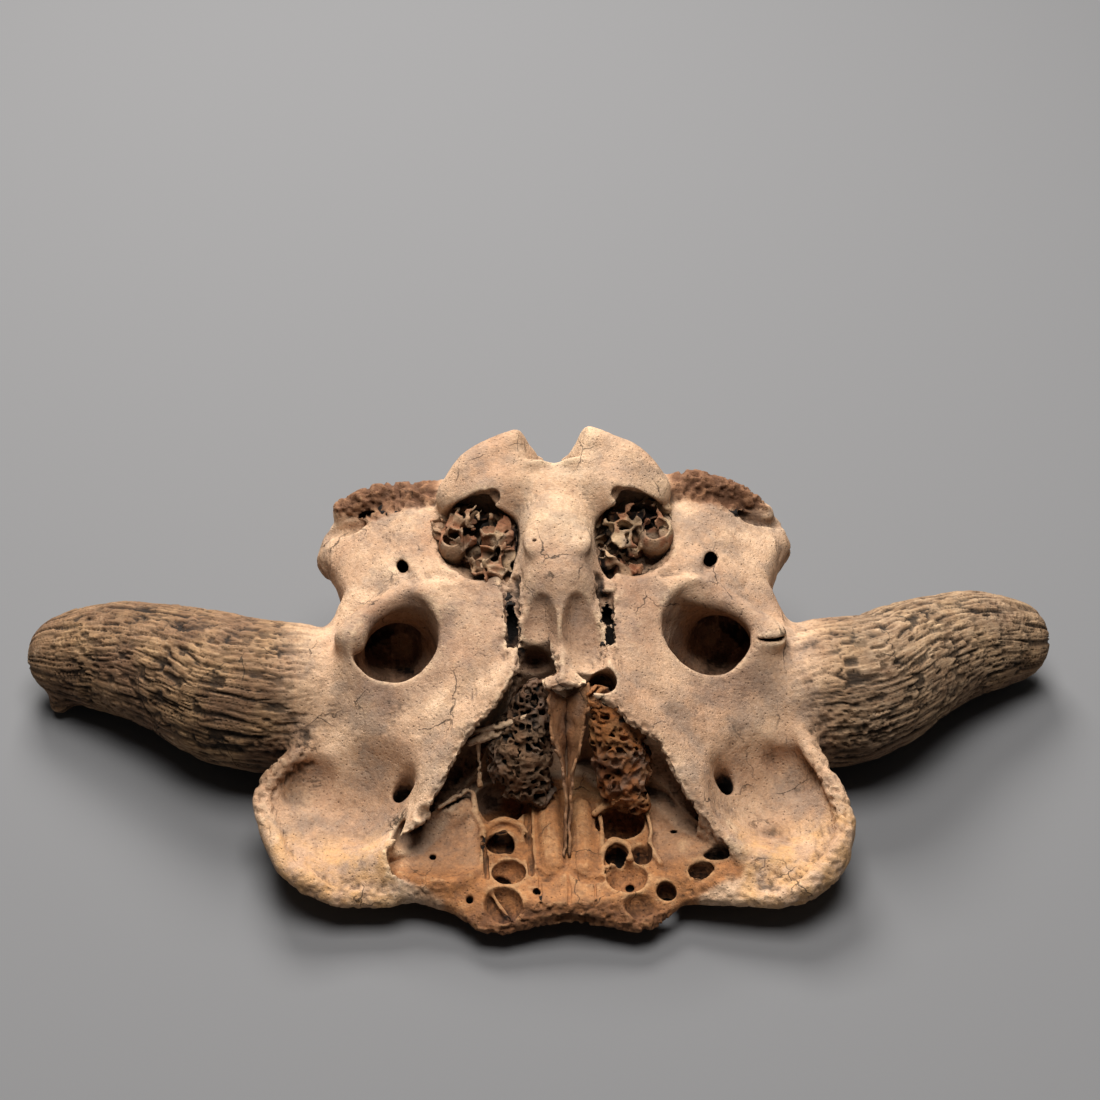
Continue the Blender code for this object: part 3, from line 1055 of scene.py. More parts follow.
def points_of(thing: bpy.types.Object) -> tuple[Array, Array]:
    """An object's points in millimetres from the midline, and its outward directions there."""
    mesh = thing.data
    points = np.empty(len(mesh.vertices) * 3, dtype=np.float32)
    mesh.vertices.foreach_get("co", points)
    outward = np.empty(len(mesh.vertices) * 3, dtype=np.float32)
    mesh.vertex_normals.foreach_get("vector", outward)
    points = points.reshape(-1, 3).astype(float) / METRE - np.array([MIDLINE, 0.0, 0.0])
    return points, outward.reshape(-1, 3).astype(float)


def put_points(thing: bpy.types.Object, points: Array) -> None:
    """Moves an object's points to places in millimetres from the midline."""
    moved = (points + np.array([MIDLINE, 0.0, 0.0])) * METRE
    thing.data.vertices.foreach_set("co", moved.ravel().astype(np.float32))
    thing.data.update()


def put_mark(thing: bpy.types.Object, name: str, values: Array) -> None:
    """Stores one number for each point, which a material can read by name."""
    mark = thing.data.attributes.new(name, "FLOAT", "POINT")
    mark.data.foreach_set("value", np.asarray(values, dtype=np.float32))


def put_way(thing: bpy.types.Object, places: Array) -> None:
    """Stores one place for each point, at which a material reads its grain."""
    mark = thing.data.attributes.new("grain_way", "FLOAT_VECTOR", "POINT")
    mark.data.foreach_set("vector", np.asarray(places, dtype=np.float32).ravel())


def linear(code: str) -> tuple[float, float, float, float]:
    """Turns an sRGB hex colour to the linear values that the shader takes."""
    parts = [int(code[k:k + 2], 16) / 255 for k in (1, 3, 5)]
    out = [c / 12.92 if c <= 0.04045 else ((c + 0.055) / 1.055) ** 2.4 for c in parts]
    return out[0], out[1], out[2], 1.0


def add_node(tree: bpy.types.NodeTree, kind: str, links: dict | None = None, **settings) -> bpy.types.Node:
    """Adds a shader node.

    Args:
        tree: The material's node tree.
        kind: The node's type name.
        links: For each input, by name or number, a socket to link or a value to set.
        **settings: The node's own settings.

    Returns:
        The new node.
    """
    node = tree.nodes.new(kind)
    for key, value in settings.items():
        setattr(node, key, value)
    for key, value in (links or {}).items():
        if isinstance(value, bpy.types.NodeSocket):
            tree.links.new(value, node.inputs[key])
        else:
            node.inputs[key].default_value = value
    return node


@dataclass(frozen=True)
class BoneFinish:
    """Dry weathered bone: a matt, mineral surface with soil stains, pores and hairline cracks, and shade and
    edge highlights painted into its colour.
    """

    name: str
    base: str
    pale: str
    stain_and_shade: str
    deep: str
    rust: str
    rust_dark: str = "#7c5334"
    grey: str = "#8c7a6c"
    cream: str = "#dfc4a3"
    rim: str = "#cfa476"
    ochre: str = "#cf9f66"
    soil: str = "#68452f"
    dusk_tone_and_shade: str = "#6f5547"
    horn_base: str = "#94755a"
    horn_pale: str = "#b8966f"
    horn_stain: str = "#6a4e39"
    roughness: float = 0.82
    grain_mm: float = 2.2

    def make(self) -> bpy.types.Material:
        """Builds the material's nodes."""
        mat = bpy.data.materials.new(self.name)
        mat.use_nodes = True
        tree = mat.node_tree
        shader = tree.nodes["Principled BSDF"]
        coords = add_node(tree, "ShaderNodeTexCoord").outputs["Object"]

        def noise(size_mm: float, detail: float = 4.0, rough: float = 0.6) -> Socket:
            """Soft noise whose swells have the given size."""
            node = add_node(tree, "ShaderNodeTexNoise", {
                "Vector": coords, "Scale": 1.0 / (size_mm * METRE), "Detail": detail, "Roughness": rough,
            })
            return node.outputs["Fac"]

        def mark(name: str) -> Socket:
            """The number that is stored on the points under a name."""
            return add_node(tree, "ShaderNodeAttribute", attribute_name=name).outputs["Fac"]

        def span(value: Socket, low: float, high: float, start: float = 0.0, end: float = 1.0) -> Socket:
            """Goes from start to end as a value goes from low to high."""
            node = add_node(tree, "ShaderNodeMapRange", {
                "Value": value, "From Min": low, "From Max": high, "To Min": start, "To Max": end,
            })
            return node.outputs["Result"]

        def mix(factor: Socket | float, a: Socket | Tint, b: Socket | Tint, blend: str = "MIX") -> Socket:
            """Lays the second colour over the first."""
            links = {0: factor, 6: a, 7: b}
            return add_node(tree, "ShaderNodeMix", links, data_type="RGBA", blend_type=blend).outputs[2]

        def product(a: Socket, b: Socket | float) -> Socket:
            """One value times another."""
            return add_node(tree, "ShaderNodeMath", {0: a, 1: b}, operation="MULTIPLY").outputs[0]

        def wash(under: Socket, name: str, tint: str, share: Socket | float) -> Socket:
            """Lays a share of a tint over a colour where the points are marked."""
            return mix(product(mark(name), share), under, linear(tint))

        # Broad patches of bleached and of stained bone, with a grain that runs lengthwise on the horn cores.
        patches = span(noise(36.0), 0.4, 0.62)
        mottle = span(noise(9.0, 6.0, 0.6), 0.42, 0.7)
        grit = noise(1.3, 5.0, 0.75)
        way = add_node(tree, "ShaderNodeAttribute", attribute_name="grain_way").outputs["Vector"]
        lengthwise = add_node(tree, "ShaderNodeTexNoise", {
            "Vector": way, "Scale": 1.0 / self.grain_mm, "Detail": 5.0, "Roughness": 0.65,
        }).outputs["Fac"]
        horn = mark("horn")
        crosswise = noise(2.6, 5.0, 0.65)
        streak = add_node(tree, "ShaderNodeMix", {0: horn, 2: crosswise, 3: lengthwise}).outputs[0]
        base = mix(horn, linear(self.base), linear(self.horn_base))
        pale = mix(horn, linear(self.pale), linear(self.horn_pale))
        colour = mix(patches, base, pale)
        colour = mix(product(mottle, 0.6), colour, mix(horn, linear(self.stain_and_shade), linear(self.horn_stain)))
        greyed = mix(horn, linear(self.grey), linear(self.horn_stain))
        colour = mix(product(span(noise(22.0, 5.0), 0.48, 0.62), 0.6), colour, greyed)
        # Stains by place, with a tone that carries painted shade round the temporal openings; then edges made
        # paler, partly wear and partly a painted highlight; then creases and furrows made darker, partly dirt
        # and partly painted shade.
        colour = wash(colour, "dusk_tone_and_shade", self.dusk_tone_and_shade, span(noise(20.0, 4.0), 0.3, 0.6, 0.5, 1.0))
        colour = wash(colour, "cream", self.cream, span(noise(9.0, 6.0), 0.7, 0.4, 0.25, 1.0))
        colour = wash(colour, "ochre", self.ochre, span(noise(12.0, 6.0), 0.6, 0.4))
        rust = mix(span(noise(5.5, 6.0, 0.7), 0.4, 0.66), linear(self.rust), linear(self.rust_dark))
        colour = mix(mark("rust"), colour, rust)
        worn = product(mark("edge"), span(noise(4.0, 4.0), 0.35, 0.6, 0.15, 0.65))
        colour = mix(worn, colour, mix(mark("rust"), linear(self.cream), linear(self.rim)))
        colour = wash(colour, "crease", self.deep, 0.75)
        colour = wash(colour, "furrow", self.deep, 0.8)
        # Grit and grain; on the horn cores the grain is much darker between the ridges, partly its colour and
        # partly painted shade in the grooves.
        gritty = mix(span(grit, 0.3, 0.7), (0.88, 0.87, 0.86, 1), (1.08, 1.08, 1.08, 1))
        colour = mix(1.0, colour, gritty, "MULTIPLY")
        dark = mix(horn, (0.88, 0.87, 0.85, 1), (0.34, 0.3, 0.27, 1))
        colour = mix(1.0, colour, mix(span(streak, 0.3, 0.68), dark, (1.14, 1.14, 1.14, 1)), "MULTIPLY")
        brushed = span(noise(4.0, 6.0, 0.8), 0.4, 0.62)
        colour = mix(product(brushed, 0.25), colour, linear(self.pale), "SOFT_LIGHT")
        colour = wash(colour, "soil", self.soil, span(noise(3.0, 4.0), 0.7, 0.4, 0.45, 1.0))
        # Hairline cracks that wander, and pores.
        bend = add_node(tree, "ShaderNodeTexNoise", {"Vector": coords, "Scale": 90.0, "Detail": 4.0})
        bent = add_node(tree, "ShaderNodeMix", {
            0: 0.012, 4: coords, 5: bend.outputs["Color"],
        }, data_type="VECTOR").outputs[1]
        seam = add_node(tree, "ShaderNodeTexVoronoi", {
            "Vector": bent, "Scale": 27.0,
        }, feature="DISTANCE_TO_EDGE")
        split = product(span(seam.outputs["Distance"], 0.012, 0.003), span(noise(30.0, 2.0), 0.52, 0.62))
        colour = mix(product(split, 0.8), colour, linear(self.deep))
        specks = add_node(tree, "ShaderNodeTexVoronoi", {
            "Vector": coords, "Scale": 1 / (2.6 * METRE),
        }).outputs["Distance"]
        colour = mix(span(specks, 0.16, 0.06, 0.0, 0.75), colour, linear(self.deep))
        # Painted shade: hollows that little air reaches are painted darker, and the deepest are painted
        # black.
        colour = mix(product(span(mark("open"), 0.75, 0.25), 0.6), colour, linear(self.stain_and_shade), "MULTIPLY")
        colour = mix(product(span(mark("open"), 0.44, 0.18), 0.98), colour, linear(self.deep))
        tree.links.new(colour, shader.inputs["Base Color"])
        shader.inputs["Roughness"].default_value = self.roughness
        shader.inputs["Specular IOR Level"].default_value = 0.3
        grain = add_node(tree, "ShaderNodeBump", {
            "Strength": 0.5, "Distance": 0.0006, "Height": grit,
        }).outputs[0]
        lines = add_node(tree, "ShaderNodeBump", {
            "Strength": 0.7, "Distance": 0.0008, "Height": streak, "Normal": grain,
        }).outputs[0]
        pores = add_node(tree, "ShaderNodeBump", {
            "Strength": 0.7, "Distance": 0.0005, "Height": span(specks, 0.05, 0.3), "Normal": lines,
        }).outputs[0]
        tree.links.new(pores, shader.inputs["Normal"])
        return mat


CRANIUM_FINISH = BoneFinish("weathered_cranium_bone", "#bd997c", "#dcba9a", "#936f55", "#0d0805", "#ad7444")


def claim(thing: bpy.types.Object, finish: bpy.types.Material) -> bpy.types.Object:
    """Dresses a finished bone piece and makes it stand for the skull."""
    thing.data.materials.append(finish)
    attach(thing, BODY)
    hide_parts(NODE)
    log.info("%s: %d faces", thing.name, len(thing.data.polygons))
    return thing


@dataclass
class HornCore:
    """A horn core's centre line, along which its furrows run."""

    stations: Sequence[Station]
    rough_from: float

    # The radius at which the core's skin is unrolled for its patterns, in millimetres.
    unrolled = 38.0

    def follow(self, p: Array) -> tuple[Array, Array]:
        """Finds where points lie along and round the core.

        Args:
            p: Points in millimetres.

        Returns:
            For each point the distance along the centre line, and the angle round it.
        """
        path = np.array(smooth_path(self.stations, 6))[:, :3]
        best = np.full(len(p), 1e9)
        along, angle = np.zeros(len(p)), np.zeros(len(p))
        run = 0.0
        for a, b in zip(path, path[1:]):
            e = b - a
            length = float(np.linalg.norm(e))
            t = np.clip(((p - a) @ e) / length**2, 0, 1)
            off = p - a - t[:, None] * e
            gap = np.sqrt((off**2).sum(axis=1))
            side = np.cross(e / length, [0.0, 0.0, 1.0])
            up = np.cross(side, e / length)
            better = gap < best
            best = np.where(better, gap, best)
            along = np.where(better, run + t * length, along)
            angle = np.where(better, np.arctan2(off @ up, off @ side), angle)
            run += length
        return along, angle

    def furrows(self, p: Array) -> Array:
        """How deep the broken lengthwise furrows are at each point, from 0 to 1."""
        along, angle = self.follow(p)
        curl = np.stack([along, np.cos(angle) * self.unrolled, np.sin(angle) * self.unrolled], axis=1)
        curl = curl + lattice_noise(p, 20.0, 5)[:, None] * np.array([[0.0, 0.9, 0.9]])
        wide = np.abs(lattice_noise(curl * np.array([1 / 9.0, 1, 1]), 3.4, 31))
        thin = np.abs(lattice_noise(curl * np.array([1 / 8.0, 1, 1]), 2.1, 47))
        here = ramp(lattice_noise(curl * np.array([1 / 3.0, 1, 1]), 5.0, 71), -0.7, 0.0)
        grooves = np.maximum(1.0 - wide / 0.26, 0.0) * here
        scratches = np.maximum(1.0 - thin / 0.34, 0.0) * 0.5
        pits = ramp(lattice_noise(curl * np.array([1 / 2.5, 1, 1]), 2.4, 91), 0.5, 0.9) * 0.6
        rough = ramp(along, self.rough_from - 10.0, self.rough_from + 26.0)
        return np.clip(np.maximum(np.maximum(grooves, scratches), pits), 0.0, 1.0) * rough

    def grain_way(self, p: Array) -> Array:
        """Places in which lengthwise distances are squeezed, so that a pattern read there runs lengthwise."""
        along, angle = self.follow(p)
        return np.stack([along / 7.0, np.cos(angle) * self.unrolled, np.sin(angle) * self.unrolled], axis=1)


class SkullPieces:
    """The solid bone of the cranium and its horn cores."""

    def __init__(self, pitch: float) -> None:
        """Sets out the pieces.

        Args:
            pitch: The grid spacing of the cranium, in millimetres.
        """
        horn = pitch * 0.8
        nose = pitch * 0.74
        self.regions = (
            Region("cranium_rear_left", (-182, 40, 0), (0, 136, 172), pitch),
            Region("cranium_rear_right", (0, 40, 0), (176, 136, 172), pitch),
            Region("cranium_middle_left", (-182, -8, 0), (0, 40, 172), pitch),
            Region("cranium_middle_right", (0, -8, 0), (176, 40, 172), pitch),
            Region("cranium_orbit_left", (-182, -140, 0), (-64, -8, 172), pitch),
            Region("cranium_orbit_right", (66, -140, 0), (176, -8, 172), pitch),
            Region("nose_left", (-64, -140, 0), (0, -8, 120), nose),
            Region("nose_right", (0, -140, 0), (66, -8, 120), nose),
            Region("horn_core_left", (-316, -60, 0), (-182, 134, 100), horn),
            Region("horn_core_right", (176, -60, 0), (306, 134, 100), horn),
        )
        self.horns = (HornCore(HORN_CORE_LEFT, 40.0), HornCore(HORN_CORE_RIGHT, 36.0))

    def weather(self, p: Array, outward: Array) -> tuple[Array, Array]:
        """Roughens points as the weather has.

        Args:
            p: Points in millimetres.
            outward: The outward direction at each.

        Returns:
            The moved points, and how deep in a furrow each one lies.
        """
        furrow = np.zeros(len(p))
        for horn in self.horns:
            root = horn.stations[1][0]
            there = p[:, 0] < root if root < 0 else p[:, 0] > root
            if there.any():
                furrow[there] = horn.furrows(p[there]) * ramp(p[there, 1], -34.0, -24.0)
        swell = layered_noise(p, 16.0, 3, 4) * 0.8
        crumbs = ramp(lattice_noise(p, 2.9, 15), -0.1, 0.5) * 2.0
        crumbs += ramp(lattice_noise(p, 1.7, 16), 0.1, 0.6) * 0.8
        moved = p + outward * (swell - furrow * 2.2 - crumbs * self.crumble(p))[:, None]
        moved[:, 2] = np.maximum(moved[:, 2], 0.0)
        return moved, furrow

    @staticmethod
    def crumble(p: Array) -> Array:
        """How far the bone has crumbled to grains: at thin edges, the front, mastoids and orbit rims."""
        u, y, z = np.abs(p[:, 0]), p[:, 1], p[:, 2]
        rim = np.abs(outline_gap(NOSE_OUTLINE, p[:, 0], y))
        edge = ramp(4.0 - rim, 0.0, 2.5) * ramp(z, 30.0, 40.0) * 0.6
        front = ramp(-y, 116.0, 124.0) * ramp(64.0 - u, 0.0, 10.0) * 0.75
        mastoid = ramp(u, 66.0, 72.0) * ramp(y, 97.0, 106.0) * ramp(z, 104.0, 112.0)
        orbit = ramp(-y, 92.0, 106.0) * ramp(u, 60.0, 72.0) * ramp(z, 12.0, 20.0) * 0.45
        orbit += ramp(u, 134.0, 146.0) * ramp(-y, 12.0, 24.0) * ramp(z, 40.0, 48.0) * 0.6
        gaps = ramp(9.0 - np.abs(u - 27.0), 0.0, 5.0) * ramp(y, -14.0, -4.0) * ramp(46.0 - y, 0.0, 8.0) * 0.7
        ears = ramp(28.0 - np.hypot(u - 45.0, y - 72.0), 0.0, 6.0) * 0.5
        ears *= ramp(z, 100.0, 112.0) * ramp(134.0 - z, 0.0, 8.0)
        worn = np.maximum(np.maximum(edge, front), np.maximum(mastoid, orbit))
        return np.clip(np.maximum(worn, np.maximum(gaps, ears)), 0.0, 1.0)

    def make(self, strokes: Sequence[Stroke], cavities: CavityMap) -> list[bpy.types.Object]:
        """Builds and dresses every piece.

        Args:
            strokes: The sculpting steps.
            cavities: The map of hollows and edges.

        Returns:
            The finished objects.
        """
        bone = CRANIUM_FINISH.make()
        made = []
        for region in self.regions:
            points, faces = region.sculpt(strokes)
            thing = new_mesh(region.name, points, faces)
            p, outward = points_of(thing)
            moved, furrow = self.weather(p, outward)
            put_points(thing, moved)
            self.mark(thing, moved, outward, furrow, cavities)
            made.append(claim(thing, bone))
        return made

    def mark(
        self, thing: bpy.types.Object, p: Array, outward: Array, furrow: Array, cavities: CavityMap
    ) -> None:
        """Stores the marks that the bone's finish reads.

        Args:
            thing: The piece.
            p: Its points, in millimetres.
            outward: The outward direction at each.
            furrow: How deep in a furrow each one lies.
            cavities: The map of hollows and edges.
        """
        buried = cavities.buried(p)
        # From these the finish paints shade in hollows, creases and furrows and a highlight on edges, along
        # with real dirt and wear.
        marks = {
            "open": cavities.openness(p, outward, 38.0),
            "edge": ramp(0.44 - buried, 0.0, 0.2),
            "crease": ramp(buried, 0.56, 0.76),
            "furrow": furrow,
            **self.stains_and_shade(p),
        }
        for name, values in marks.items():
            put_mark(thing, name, values)
        put_way(thing, self.way(p))

    @staticmethod
    def stains_and_shade(p: Array) -> dict[str, Array]:
        """Where each stain, the painted shade round the temporal openings and the horn cores lie on the
        skull, from 0 to 1 at each point, by the name of its mark.
        """
        side, u, y, z = p[:, 0], np.abs(p[:, 0]), p[:, 1], p[:, 2]
        # Bleached bone is on the column and on the right horn core's root.
        column = ramp(z, 112.0, 132.0) * ramp(y, 30.0, 60.0) * ramp(30.0 - u, 0.0, 14.0) * 0.3
        root = ramp(side, 146.0, 176.0) * ramp(z, 26.0, 54.0) * 0.4
        # Rust is on the nose's floor, less on its side plates, on the front edge and on the mastoids.
        nose = ramp(-outline_gap(NOSE_OUTLINE, side, y), -1.0, 3.0)
        plates = nose * ramp(u, 44.0, 52.0) * ramp(-y, 20.0, 50.0) * ramp(100.0 + y, 0.0, 14.0)
        floor = nose * ramp(60.0 - z, 0.0, 25.0) * (1.0 - 0.4 * plates)
        front = ramp(-y, 100.0, 112.0) * ramp(72.0 - u, 0.0, 12.0)
        mastoid = ramp(u, 64.0, 72.0) * ramp(y, 98.0, 107.0) * ramp(z, 106.0, 113.0)
        # Soil clings to the mastoids, low on the front and along its edge.
        edge = ramp(-y, 114.0, 123.0) * ramp(66.0 - u, 0.0, 8.0)
        # A mauve-grey tone between the temporal openings and round them, partly the bone's own tone and
        # partly painted shade, and ochre in the orbits' dishes.
        middle = ramp(72.0 - u, 0.0, 30.0) * ramp(y, -24.0, 6.0) * ramp(64.0 - y, 0.0, 24.0)
        temporal = ramp(38.0 - np.hypot(u - 90.0, y - 12.0), 0.0, 10.0)
        dish = ramp(u, 84.0, 100.0) * ramp(-y, 60.0, 84.0) * ramp(60.0 - z, 0.0, 12.0)
        return {
            "cream": np.maximum(column, root),
            "rust": np.maximum(floor, np.maximum(front * 0.85, mastoid * 0.7)) * 0.92,
            "soil": np.maximum(mastoid, np.maximum(front * ramp(18.0 - z, 0.0, 8.0), edge * 0.85)) * 0.9,
            "dusk_tone_and_shade": np.maximum(middle * 0.45, temporal * 0.5),
            "ochre": dish * 0.6,
            "horn": ramp(u, 132.0, 172.0) * ramp(y, -52.0, -40.0),
        }

    def way(self, p: Array) -> Array:
        """The places in which the bone's grain is read: squeezed lengthwise on the horn cores."""
        way = np.zeros_like(p)
        for horn in self.horns:
            there = np.sign(p[:, 0]) == np.sign(horn.stations[0][0])
            if there.any():
                way[there] = horn.grain_way(p[there])
        return way


def resample(line: Sequence[Point], count: int) -> Array:
    """Spreads points evenly by station number along a smooth curve through a line's points."""
    path = np.array(smooth_path(line, 8)) if len(line) > 2 else np.array(line, dtype=float)
    at = np.linspace(0, len(path) - 1, count)
    low = np.minimum(at.astype(int), len(path) - 2)
    return path[low] + (path[low + 1] - path[low]) * (at - low)[:, None]


@dataclass
class Leaf:
    """A thin curved sheet of bone lofted across edge lines, with broken free edges."""

    rails: Sequence[Sequence[Point]]
    thickness: float
    seed: int
    ragged: float = 1.2

    def add_to(self, shape: bmesh.types.BMesh) -> None:
        """Builds the sheet as a closed shell in a shared bmesh.

        Args:
            shape: An empty bmesh that takes the sheet, in millimetres.
        """
        along, across = 46, 7 * (len(self.rails) - 1) + 1
        lines = np.array([resample(rail, along) for rail in self.rails])
        net = np.array([resample(lines[:, k], across) for k in range(along)])
        made = bmesh.ops.create_grid(shape, x_segments=across - 1, y_segments=along - 1, size=1.0)["verts"]
        order = sorted(made, key=lambda vert: (round(vert.co.y, 4), round(vert.co.x, 4)))
        flat = net.reshape(-1, 3)
        shake = np.stack([layered_noise(flat, 6.0, self.seed + k, 2) for k in range(3)], axis=1)
        tear = lattice_noise(flat, 3.4, self.seed + 9)
        for vert, place, move in zip(order, flat, shake):
            vert.co = Vector(place + move * 0.9)
        worn = []
        for number, vert in enumerate(order):
            column, row = number % across, number // across
            rim = min(column, row, along - 1 - row) if column < across - 1 else 99
            if column <= 1 and tear[number] > 0.55 - 0.25 * self.ragged + 0.5 * rim:
                worn.append(vert)
        bmesh.ops.delete(shape, geom=worn, context="VERTS")
        faces = list(shape.faces)
        bmesh.ops.recalc_face_normals(shape, faces=faces)
        bmesh.ops.solidify(shape, geom=faces, thickness=self.thickness)


def put_in_order(shape: bmesh.types.BMesh) -> None:
    """Sorts points and faces by place, because solidify's own order changes from run to run."""
    slant = Vector((1.0, 0.617, 0.383))
    shape.verts.sort(key=lambda vert: vert.co.dot(slant))
    shape.faces.sort(key=lambda face: face.calc_center_median().dot(slant))


def leaf_piece(name: str, leaves: Sequence[Leaf]) -> bpy.types.Object:
    """Joins leaves to one object, in the frame's metres."""
    shape = bmesh.new()
    for leaf in leaves:
        part = bmesh.new()
        leaf.add_to(part)
        loose = [v for v in part.verts if not v.link_faces]
        bmesh.ops.delete(part, geom=loose, context="VERTS")
        put_in_order(part)
        carried = bpy.data.meshes.new("leaf")
        part.to_mesh(carried)
        part.free()
        shape.from_mesh(carried)
        bpy.data.meshes.remove(carried)
    bmesh.ops.recalc_face_normals(shape, faces=shape.faces)
    bmesh.ops.translate(shape, vec=(MIDLINE, 0.0, 0.0), verts=shape.verts)
    bmesh.ops.scale(shape, vec=(METRE, METRE, METRE), verts=shape.verts)
    mesh = bpy.data.meshes.new(name)
    shape.to_mesh(mesh)
    shape.free()
    mesh.shade_smooth()
    thing = bpy.data.objects.new(name, mesh)
    bpy.context.scene.collection.objects.link(thing)
    return thing


@dataclass
class FinePiece:
    """Thin broken bone that is sculpted on a finer grid than the skull, with shade painted darker inwards and
    black from dark_below on.
    """

    name: str
    strokes: Sequence[Stroke]
    pitch: float
    finish: BoneFinish
    rust: float = 0.0
    dark_below: float = 7.0

    def make(self, cavities: CavityMap, coarser: float) -> bpy.types.Object:
        """Sculpts, roughens and dresses the piece.

        Args:
            cavities: The map of hollows and edges.
            coarser: How many times the grid's spacing is widened.

        Returns:
            The finished object.
        """
        corners = [stroke.shape.reach() for stroke in self.strokes if stroke.act is Act.ADD]
        low = np.min([c[0] for c in corners], axis=0) - 3.0
        high = np.max([c[1] for c in corners], axis=0) + 3.0
        block = ClayBlock(low, high, self.pitch * coarser)
        for stroke in self.strokes:
            block.apply(stroke)
        thing = new_mesh(self.name, *block.surface())
        p, outward = points_of(thing)
        p = p + outward * (layered_noise(p, 5.0, 61, 2) * 0.25)[:, None]
        put_points(thing, p)
        # Painted shade: points deep inside the piece, and in hollows that little air reaches, are painted
        # darker.
        shade = ramp(self.depth(block, p), 0.5, self.dark_below)
        put_mark(thing, "open", cavities.openness(p, outward, 24.0) * (1.0 - shade))
        put_mark(thing, "rust", ramp(layered_noise(p, 9.0, 77, 2), -0.2, 0.4) * self.rust)
        put_way(thing, p)
        return claim(thing, self.finish.make())

    def depth(self, block: ClayBlock, p: Array) -> Array:
        """How deep points lie in the shape that the first step fills, in millimetres."""
        at = np.clip(((p - block.low) / block.pitch).round().astype(int), 0, block.count - 1)
        hold = self.strokes[0].shape.inside.gap(*block.places(np.zeros(3, int), block.count))
        return -hold[at[:, 0], at[:, 1], at[:, 2]]


# The fine bone, where soil and damp have stained the scrolls darker than the ears and the septum.
SCROLL_LEFT_FINISH = BoneFinish(
    "stained_left_scroll_bone", "#4f3b2c", "#86694f", "#2b2018", "#0c0805", "#7a4f30",
)
SCROLL_RIGHT_FINISH = BoneFinish(
    "stained_right_scroll_bone", "#74492c", "#ab7a4c", "#482e1c", "#120b06", "#a0622f",
)
EAR_FINISH = BoneFinish("broken_ear_bone", "#a5866a", "#cdb08c", "#5c4736", "#120b07", "#8a4526")
SEPTUM_FINISH = BoneFinish("thin_septum_bone", "#8a6548", "#b98f68", "#5a3d29", "#0d0805", "#94633c")


def scroll_pieces() -> list[FinePiece]:
    """The curled scroll bones in the back of the nose and the cells beside them."""
    left = rod(
        (-14, -18, 92, 5), (-19, -24, 76, 12), (-24, -31, 60, 18), (-22, -39, 46, 16), (-13, -45, 37, 9),
    )
    right = rod(
        (24, -30, 86, 8), (29, -36, 72, 13), (33, -42, 57, 16), (34, -50, 45, 12), (42, -58, 38, 5),
    )
    upper = rod((19, -27, 92, 6), (33, -32, 86, 9), (47, -37, 78, 8))
    return [
        FinePiece("scroll_bone_left", [
            add(Scrolls(left, 3.5, 1.1, 11)),
        ], 0.72, SCROLL_LEFT_FINISH, 0.25, 5.0),
        FinePiece("scroll_bone_right", [
            add(Foam(right, 6.5, 1.0, 23), 0.0),
            add(Scrolls(right, 5.5, 1.1, 19), 0.6),
            add(Foam(upper, 9.5, 1.3, 29), 0.5),
        ], 0.72, SCROLL_RIGHT_FINISH, 0.7),
    ]


def ear_pieces() -> list[FinePiece]:
    """The broken honeycomb of the ear bones with their cups and petals."""
    left = rod((-62, 89, 119, 11), (-50, 83, 121, 17), (-37, 75, 121, 15), (-36, 56, 116, 12))
    right = rod((60, 92, 119, 11), (50, 85, 121, 17), (37, 77, 121, 15), (37, 58, 116, 12))
    return [
        FinePiece("ear_bone_left", [
            add(Foam(left, 10.0, 1.3, 41), 0.0),
            cut(Scrolls(Lump((-45, 77, 128), (24, 28, 18)), 10.0, 3.6, 77), 0.5),
            cut(Lump((-42, 91, 136), (14, 6, 11)), 0.5),
            add(Cup(Lump((-60, 72, 119), (7, 9, 11)), 1.4, (0, 0, -1), -7.0), 0.6),
        ], 0.7, EAR_FINISH, 0.6, 15.0),
        FinePiece("ear_bone_right", [
            add(Foam(right, 10.5, 1.3, 57), 0.0),
            cut(Scrolls(Lump((43, 78, 128), (24, 28, 18)), 10.5, 3.6, 83), 0.5),
            cut(Lump((42, 92, 136), (14, 6, 11)), 0.5),
            add(Cup(Lump((58, 75, 120), (9, 12, 13), (0, 0, -18)), 1.4, (0, 0, -1), -7.0), 0.6),
        ], 0.7, EAR_FINISH, 0.7, 15.0),
    ]


def make_septum(cavities: CavityMap) -> bpy.types.Object:
    """Builds the trough of thin bone on the midline that narrows to one line on the nose's floor."""
    root = ((2, -20, 86), (2, -28, 74), (2, -37, 60), (2, -48, 44), (1.5, -62, 32), (0, -86, 26))
    left = ((-9, -25, 102), (-7, -34, 90), (-6, -44, 78), (-1, -53, 66), (1, -65, 50), (-0.3, -88, 29))
    right = ((14, -25, 102), (13.5, -35, 90), (11, -43, 78), (5, -54, 66), (3, -65, 50), (1.0, -88, 29))
    inner = ((-3, -23, 93), (-2, -31, 81), (-1, -41, 68), (1.5, -51, 54), (1.5, -64, 40), (0, -87, 27))
    outer = ((8, -23, 93), (7, -32, 81), (6, -41, 68), (3, -52, 54), (2, -64, 40), (0.4, -87, 27))
    leaves = [Leaf((left, inner, root), 1.4, 5), Leaf((right, outer, root), 1.4, 8)]
    thing = leaf_piece("septum_trough", leaves)
    p, outward = points_of(thing)
    # How open each point is, from which the finish paints shade in its hollows.
    put_mark(thing, "open", cavities.openness(p, outward, 30.0))
    put_mark(thing, "rust", np.full(len(p), 0.4))
    put_way(thing, p)
    return claim(thing, SEPTUM_FINISH.make())


